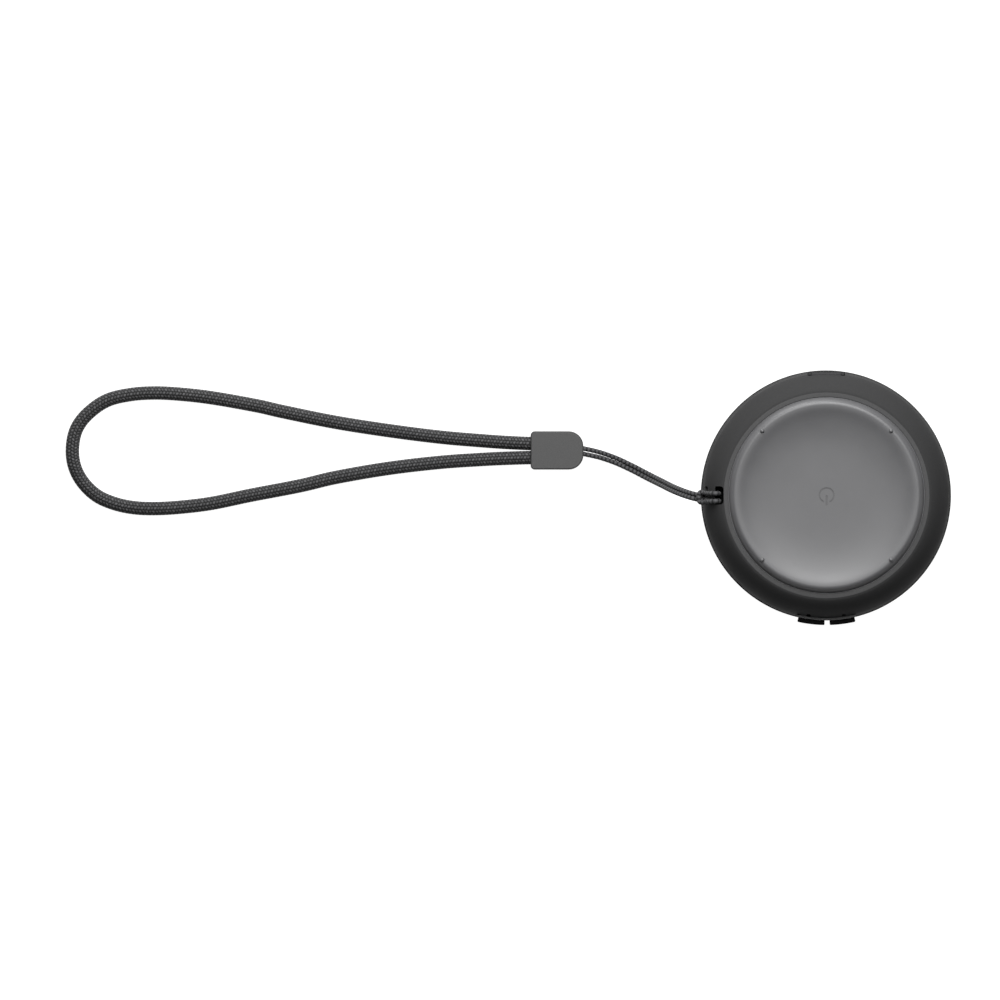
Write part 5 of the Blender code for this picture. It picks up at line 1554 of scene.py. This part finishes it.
    def seal(self) -> Piece:
        """The rubber ring in the seam."""
        inner, outer, low, high = 43.4 * MM, 44.6 * MM, 8.4 * MM, 9.0 * MM
        corner = 0.2 * MM
        profile = [(outer - corner, high), (outer, high - corner), (outer, low + corner)]
        profile += [(outer - corner, low), (inner + corner, low), (inner, low + corner)]
        profile += [(inner, high - corner), (inner + corner, high)]
        return Bench.smooth(Bench.turn("seam_seal", profile))

    def build(self, finishes: Finishes) -> None:
        """Makes the casing's three pieces."""
        plastic = finishes.casing.material()
        Bench.dress(self.rear(), "speaker", "casing_plastic", plastic, "rear_shell")
        Bench.dress(self.bezel(), "speaker", "casing_plastic", plastic, "front_bezel")
        Bench.dress(self.seal(), "speaker", "black_rubber", finishes.rubber.material(),
                    "shell_seal")


# --------------------------------------------------------------------- the power key


@dataclass
class PowerKey:
    """The dished disc on the base, with its nubs and its power mark, and its seal."""

    radius: float = 36.05 * MM
    crest: float = 40.0 * MM
    crest_radius: float = 33.35 * MM
    wall_radius: float = 35.85 * MM  # where the rim's outer side meets the skirt
    # The slope at each radius, in millimetres: up to the crest, and down again outside it.
    slopes: tuple[Flat, ...] = (
        (0, 0), (8, 0.006), (12, 0.014), (16, 0.028), (20, 0.055), (24, 0.105), (26, 0.137),
        (28, 0.172), (30, 0.24), (31.3, 0.26), (32.3, 0.17), (32.9, 0.08), (33.35, 0),
        (33.8, -0.14), (34.15, -0.37), (34.5, -0.75), (34.85, -1.13), (35.2, -1.45),
        (35.55, -1.7), (35.85, -1.95),
    )
    edge_out: float = 0.06 * MM  # the small step between the rim's foot and the skirt
    edge_down: float = 0.05 * MM
    under: float = 36.9 * MM
    stem_radius: float = 2.4 * MM
    stem_low: float = 31.5 * MM
    neck_radius: float = 1.6 * MM  # of the stem's groove for the clip
    neck_low: float = 32.1 * MM
    neck_high: float = 33.1 * MM
    nub_radius: float = 0.85 * MM
    nub_circle: float = 33.45 * MM
    nub_rise: float = 0.7 * MM
    nub_root: float = 1.2 * MM  # how deep it goes into the key
    nub_sink: float = 0.02 * MM
    icon_radius: float = 2.65 * MM
    icon_stroke: float = 0.55 * MM
    icon_bar: float = 0.7 * MM
    icon_bar_end: float = 3.75 * MM
    icon_depth: float = 0.25 * MM
    icon_gap: float = 29.0  # half the ring's gap, in degrees
    seal_low: float = 34.9 * MM
    seal_high: float = 36.6 * MM
    seal_foot: float = 6.3 * MM
    seal_wall: float = 1.2 * MM
    seal_keep: float = 0.64  # how much of its height is left with the key pressed

    def surface(self, radius: float) -> float:
        """The height of the dish or its rim at a radius."""
        reach = np.linspace(radius, self.crest_radius, 200)
        slope = np.interp(reach / MM, *zip(*self.slopes))
        return self.crest - float(np.sum((slope[1:] + slope[:-1]) / 2 * np.diff(reach)))

    def disc(self) -> Piece:
        """The key's body, with its stem."""
        reach = [self.crest_radius * i / 48 for i in range(49)]
        wide = self.wall_radius - self.crest_radius
        reach += [self.crest_radius + wide * i / 14 for i in range(1, 15)]
        profile = [(radius, self.surface(radius)) for radius in reach]
        skirt = profile[-1][1] - self.edge_down
        profile += [(self.wall_radius + self.edge_out, skirt), (self.radius, skirt)]
        profile += [(self.radius, self.under), (self.stem_radius, self.under)]
        profile += [(self.stem_radius, self.neck_high), (self.neck_radius, self.neck_high)]
        profile += [(self.neck_radius, self.neck_low), (self.stem_radius, self.neck_low)]
        profile += [(self.stem_radius, self.stem_low), (0.0, self.stem_low)]
        return Bench.turn("power_disc", profile)

    def nubs(self) -> Piece:
        """Four round-topped nubs that stand on the crest."""
        made = []
        centre = self.nub_rise - self.nub_radius
        for x, y in arc((0, 0), self.nub_circle, 45, 405, 4)[:-1]:
            profile = [(max(0.0, radius), height) for radius, height in
                       arc((0.0, centre), self.nub_radius, 90, 0, 10)]
            profile[0] = (0.0, self.nub_rise)
            profile += [(self.nub_radius, -self.nub_root), (0.0, -self.nub_root)]
            nub = Bench.turn("nub", profile, SMALL_STEPS)
            nub.data.transform(Matrix.Translation((x, y, self.crest - self.nub_sink)))
            made.append(nub)
        return Bench.gather("nubs", made)

    def icon(self) -> Piece:
        """The power mark's shape: a ring that is open at one side, and a bar in the gap."""
        floor = self.surface(0.0)
        half = self.icon_stroke / 2
        start, end = -90 + self.icon_gap, 270 - self.icon_gap
        outline = arc((0, 0), self.icon_radius + half, start, end, 48)
        tip = math.radians(end)
        centre = (self.icon_radius * math.cos(tip), self.icon_radius * math.sin(tip))
        outline += arc(centre, half, end, end + 180, 6)[1:-1]
        outline += arc((0, 0), self.icon_radius - half, end, start, 48)
        tip = math.radians(start)
        centre = (self.icon_radius * math.cos(tip), self.icon_radius * math.sin(tip))
        outline += arc(centre, half, start + 180, start + 360, 6)[1:-1]
        ring = Bench.slab("icon_ring", outline, floor - self.icon_depth, floor + MM)
        wide = self.icon_bar / 2
        bar = Bench.slab(
            "icon_bar", rounded((-wide, -self.icon_bar_end), (wide, 0.0), [wide * 0.9] * 4, 5),
            floor - self.icon_depth, floor + MM,
        )
        return Bench.gather("icon", [ring, bar])

    def seal(self) -> Piece:
        """The bellows under the key, with one soft fold in its wall."""
        low, high, foot = self.seal_low, self.seal_high, self.seal_foot
        within = foot - self.seal_wall
        outside = [(4.5 * MM, high), (5.1 * MM, high - 0.5 * MM), (5.6 * MM, high - 0.7 * MM),
                   (6.1 * MM, low + 0.6 * MM), (foot, low + 0.3 * MM), (foot, low)]
        inside = [(within, low), (within, low + 0.4 * MM), (4.4 * MM, high - 0.9 * MM),
                  (3.9 * MM, high - 0.6 * MM), (3.3 * MM, high)]
        return Bench.smooth(Bench.turn("key_bellows", outside + inside, 64))

    def build(self, finishes: Finishes) -> None:
        """Makes the key and its bellows."""
        key = self.disc()
        Bench.combine(key, self.nubs(), Join.ADD)
        Bench.combine(key, self.icon(), Join.CUT)
        silicone = replace(finishes.key, mark_below=self.surface(0.0) - self.icon_depth / 2)
        Bench.dress(Bench.smooth(key), "power_key", "key_silicone", silicone.material(),
                    "power_key")
        bellows = self.seal()
        Bench.dress(bellows, "speaker", "black_rubber", finishes.rubber.material(), "key_seal")
        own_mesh(bellows)


# ------------------------------------------------------- buttons, port cover, grille


@dataclass
class Controls:
    """The two volume buttons and the cover of the charging port."""

    button_radius: float = 47.65 * MM
    button_inner: float = 41.1 * MM
    flange_inner: float = 40.5 * MM
    flange_outer: float = 41.9 * MM
    keys: KeyPlace = KeyPlace()
    lip: float = 0.8 * MM  # how far the flange stands out beyond the button
    lip_circle: float = 45.6 * MM  # where it is measured, the casing's side
    rounding: float = 0.4 * MM
    mark_depth: float = 0.3 * MM
    mark_reach: float = 1.5 * MM  # half its length
    mark_wide: float = 0.3 * MM  # half its line's width
    cover_half: float = 6.575 * MM
    cover_low: float = 13.3 * MM
    cover_high: float = 25.7 * MM
    cover_face: float = 45.1 * MM
    cover_inner: float = 42.7 * MM
    cover_corner: float = 1.2 * MM
    cover_round: float = 0.45 * MM
    plug_half: float = 4.2 * MM
    plug_in: float = 41.5 * MM
    plug_into_cover: float = 0.5 * MM
    plug_low: float = 18.05 * MM
    plug_high: float = 21.05 * MM
    plug_round: float = 0.4 * MM
    notch_radius: float = 0.48 * MM
    # The notches' places, in millimetres.
    notch_across: tuple[float, ...] = (-6.3, -5.8, 5.8, 6.3)
    notch_y: float = 44.8
    notch_floor: float = 18.0
    notch_top: float = 30.0

    def button(self, name: str, side: int) -> Piece:
        """One volume button, with a minus or a plus sunk into its face.

        Args:
            name: the piece's name.
            side: -1 for the left one, 1 for the right one.

        Returns:
            The button.
        """
        ends = self.keys.ends(side)
        cap = Bench.slab(
            name, sector(self.button_inner, self.button_radius, ends[0], ends[1], 16),
            self.keys.low, self.keys.high,
        )
        Bench.round(cap, self.rounding, 4, 40)
        wider = self.keys.ends(side, math.degrees(self.lip / self.lip_circle))
        flange = Bench.slab(
            "flange", sector(self.flange_inner, self.flange_outer, *wider, 16),
            self.keys.low - self.lip, self.keys.high + self.lip,
        )
        Bench.combine(cap, flange, Join.ADD)
        middle, height = math.radians(sum(ends) / 2), (self.keys.low + self.keys.high) / 2
        out = Vector((math.cos(middle), math.sin(middle), 0.0))
        along = Vector((-out.y, out.x, 0.0))
        face = out * (self.button_radius - self.mark_depth) + Vector((0, 0, height))
        marks = [along] if side < 0 else [along, Vector((0, 0, 1))]
        for direction in marks:
            across = direction.cross(out)
            corners = [
                face + direction * self.mark_reach * a + across * self.mark_wide * b
                for a, b in ((-1, -1), (1, -1), (1, 1), (-1, 1))
            ]
            Bench.combine(cap, Bench.extrude("mark", corners, out * MM), Join.CUT)
        return Bench.smooth(cap)

    def cover(self) -> Piece:
        """The port's cover, with its plug and a thumbnail's notch at each end of its top."""
        outline = rounded((-self.cover_half, self.cover_low), (self.cover_half, self.cover_high),
                          [self.cover_corner] * 4)
        cover = Bench.slab("charging_cover", outline, self.cover_inner, self.cover_face,
                           standing=True)
        Bench.round(cover, self.cover_round, 4, 50)
        plug = Bench.block(
            "plug", (-self.plug_half, self.plug_in, self.plug_low),
            (self.plug_half, self.cover_inner + self.plug_into_cover, self.plug_high),
            self.plug_round,
        )
        Bench.combine(cover, plug, Join.ADD)
        notches = [
            Bench.rod("notch", self.notch_radius, Vector((x, self.notch_y, self.notch_floor)) * MM,
                      Vector((x, self.notch_y, self.notch_top)) * MM, SMALL_STEPS)
            for x in self.notch_across
        ]
        Bench.combine(cover, Bench.gather("notches", notches), Join.CUT)
        return Bench.smooth(cover)

    def build(self, finishes: Finishes) -> None:
        """Makes the buttons and the cover."""
        rubber = finishes.rubber.material()
        Bench.dress(self.button("button_minus", -1), "volume_down", "black_rubber", rubber,
                    "volume_down_button")
        Bench.dress(self.button("button_plus", 1), "volume_up", "black_rubber", rubber,
                    "volume_up_button")
        Bench.dress(self.cover(), "port_cover", "black_rubber", finishes.cover.material(),
                    "port_cover")


@dataclass
class Front:
    """The slotted grille and the cloth behind it."""

    radius: float = 40.2 * MM
    thickness: float = 1.3 * MM
    centre: float = 9.0 * MM
    rows: int = 3
    row_width: float = 10.0 * MM
    slot_length: float = 8.0 * MM
    slot_width: float = 2.0 * MM
    spacing: float = 10.3 * MM
    edge: float = 0.2 * MM
    rim_round: float = 0.15 * MM

    def grille(self) -> Piece:
        """The plate, with round-ended slots, their rims broken."""
        edge = self.edge
        profile = [(0.0, self.thickness), (self.radius - edge, self.thickness)]
        profile += [(self.radius, self.thickness - edge), (self.radius, edge)]
        profile += [(self.radius - edge, 0.0), (0.0, 0.0)]
        plate = Bench.turn("slotted_grille", profile)
        slots = []
        half = self.slot_width / 2
        for row in range(self.rows):
            start = self.centre + row * self.row_width
            count = round(math.tau * (start + self.slot_length / 2) / self.spacing)
            outline = rounded((start, -half), (start + self.slot_length, half), [half * 0.98] * 4, 6)
            first = Bench.slab("slot", outline, -MM, self.thickness + MM)
            for index in range(count):
                slot = first if index == 0 else first.copy()
                if index:
                    slot.data = first.data.copy()
                    bpy.context.scene.collection.objects.link(slot)
                    slot.data.transform(Matrix.Rotation(math.tau * index / count, 4, "Z"))
                slots.append(slot)
        Bench.combine(plate, Bench.gather("slots", slots), Join.CUT)
        Bench.round(plate, self.rim_round, 2, 60)
        return Bench.smooth(plate)

    def cloth(self) -> Piece:
        """The cloth behind the slots."""
        low, high, reach = 1.6 * MM, 2.0 * MM, 39.6 * MM
        profile = [(0.0, high), (reach, high), (reach, low), (0.0, low)]
        return Bench.turn("driver_cloth", profile, 96)

    def build(self, finishes: Finishes) -> None:
        """Makes the grille and its cloth."""
        Bench.dress(self.grille(), "speaker", "grille_metal", finishes.grille.material(),
                    "front_grille")
        Bench.dress(self.cloth(), "speaker", "dark_fabric", finishes.cloth.material(),
                    "grille_cloth")


# ----------------------------------------------------------------- what is inside it


@dataclass
class Insides:
    """The CAD pieces that stay, each given its finish, and the wires that replace theirs."""

    wire_radius: float = 0.3 * MM
    twist: float = 4.0 * MM  # the length of a full turn of two wires

    @staticmethod
    def numbered(stem: str, count: int) -> list[str]:
        """The names of a node's numbered copies."""
        return [f"{stem}_{number}" for number in range(1, count + 1)]

    def finishes_of(self, finishes: Finishes) -> dict[bpy.types.Material, Sequence[str]]:
        """Each material, and the nodes that are made of it."""
        screws = self.numbered("case_screw", 4) + self.numbered("driver_screw", 4)
        screws += self.numbered("board_screw", 3)
        return {
            finishes.inside.material(): ["baffle"],
            finishes.steel.material(): [
                *screws, "key_clip", "driver_basket", "radio_module", "usb_port"],
            finishes.turned.material(): ["magnet_cup", "driver_magnet", "pole_plate"],
            finishes.paper.material(): ["driver_cone", "driver_dust_cap"],
            finishes.rubber.material(): ["driver_surround"],
            finishes.cloth.material(): ["driver_spider"],
            finishes.copper.material(): ["voice_coil"],
            finishes.board.material(): ["main_board", "charge_board", "button_board"],
            finishes.chip.material(): [
                "amplifier_chip", "power_switch", "volume_down_switch", "volume_up_switch"],
            finishes.cell.material(): ["battery_cell"],
            finishes.foam.material(): ["battery_tape"],
        }

    def lead(self, node: str, points: Sequence[Place], material: bpy.types.Material) -> None:
        """Two thin wires twisted round each other, in place of a CAD lead.

        Args:
            node: the CAD lead.
            points: its route, in metres.
            material: the wires' cover.
        """
        route = Route.through([Vector(point) for point in points], 0.4 * MM)
        pair = []
        for phase in (0.0, math.pi):
            far, line, before = 0.0, [], route.points[0]
            for point, side, up in route.frames():
                far += (point - before).length
                before = point
                turn = phase + math.tau * far / self.twist
                line.append(point + self.wire_radius * (side * math.cos(turn) + up * math.sin(turn)))
            pair.append(self.wire(f"{node}_wire", line))
        wires = Bench.gather(node.replace("lead", "wires"), pair)
        Bench.dress(wires, "speaker", "wire_cover", material, node)

    def wire(self, name: str, line: Sequence[Vector]) -> Piece:
        """A round wire along a line, as a mesh."""
        curve = bpy.data.curves.new(name, "CURVE")
        curve.dimensions = "3D"
        curve.bevel_depth = self.wire_radius
        curve.bevel_resolution = 3
        curve.use_fill_caps = True
        spline = curve.splines.new("POLY")
        spline.points.add(len(line) - 1)
        for point, place in zip(spline.points, line):
            point.co = (*place, 1.0)
        wire = bpy.data.objects.new(name, curve)
        bpy.context.scene.collection.objects.link(wire)
        Bench.hold(wire)
        bpy.ops.object.convert(target="MESH")
        wire = bpy.context.object
        wire.data.shade_smooth()
        return wire

    def leads(self, material: bpy.types.Material) -> None:
        """Makes the four pairs of wires along the CAD leads' routes."""
        under, seat = 27.3 * MM, 12.9 * MM
        flange, column, face = -24.3 * MM, 28.0 * MM, 17.3 * MM
        cell, inner, button, charge = 21.9 * MM, -35.8 * MM, 18.0 * MM, 29.6 * MM
        board = 17.62 * MM
        self.lead("speaker_lead", [
            (flange, -6.4 * MM, seat), (flange - 0.3 * MM, -6.6 * MM, seat + 3 * MM),
            (flange - MM, -8 * MM, (seat + under) / 2),
            (flange + 0.3 * MM, -8.5 * MM, under - 3 * MM),
            (flange + 1.3 * MM, -8.5 * MM, under),
        ], material)
        self.lead("battery_lead", [
            (column, face, cell), (column - MM, face + 2.2 * MM, cell + MM),
            (column - 4 * MM, face + 2.6 * MM, under - 2 * MM),
            (column - 6 * MM, face + 2 * MM, under),
        ], material)
        self.lead("button_lead", [
            (-6 * MM, inner, button + 2 * MM), (-6 * MM, inner + 2.4 * MM, button + 3 * MM),
            (-6.5 * MM, inner + 4.6 * MM, under - 3 * MM), (-6.5 * MM, inner + 5 * MM, under),
        ], material)
        self.lead("charge_lead", [
            (5 * MM, charge, board + 0.3 * MM), (5 * MM, charge - 0.5 * MM, board + 4 * MM),
            (5 * MM, charge - MM, under),
        ], material)

    def build(self, finishes: Finishes) -> None:
        """Dresses the CAD pieces and makes the wires."""
        for material, names in self.finishes_of(finishes).items():
            for name in names:
                node = frame["nodes"][name]
                node.data.materials.clear()
                node.data.materials.append(material)
                log.info("%s: dressed with %s", name, material.name)
        self.leads(finishes.wire.material())


def main() -> None:
    """Builds the studio and the speaker."""
    logging.basicConfig(level=logging.INFO, format="%(message)s", stream=sys.stdout)
    for old in list(bpy.data.objects):
        if old.type in ("CAMERA", "LIGHT") or (old.type == "MESH" and "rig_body" not in old):
            bpy.data.objects.remove(old)
    finishes = Finishes()
    Studio().build()
    for assembly in (Strap(), Casing(), PowerKey(), Controls(), Front(), Insides()):
        log.info("-- %s", type(assembly).__name__)
        assembly.build(finishes)
    boxes = {"cad": CAD_BOX, "visual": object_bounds()}
    {key: [list(corner) for corner in box] for key, box in boxes.items()}


if __name__ == "__main__":
    main()
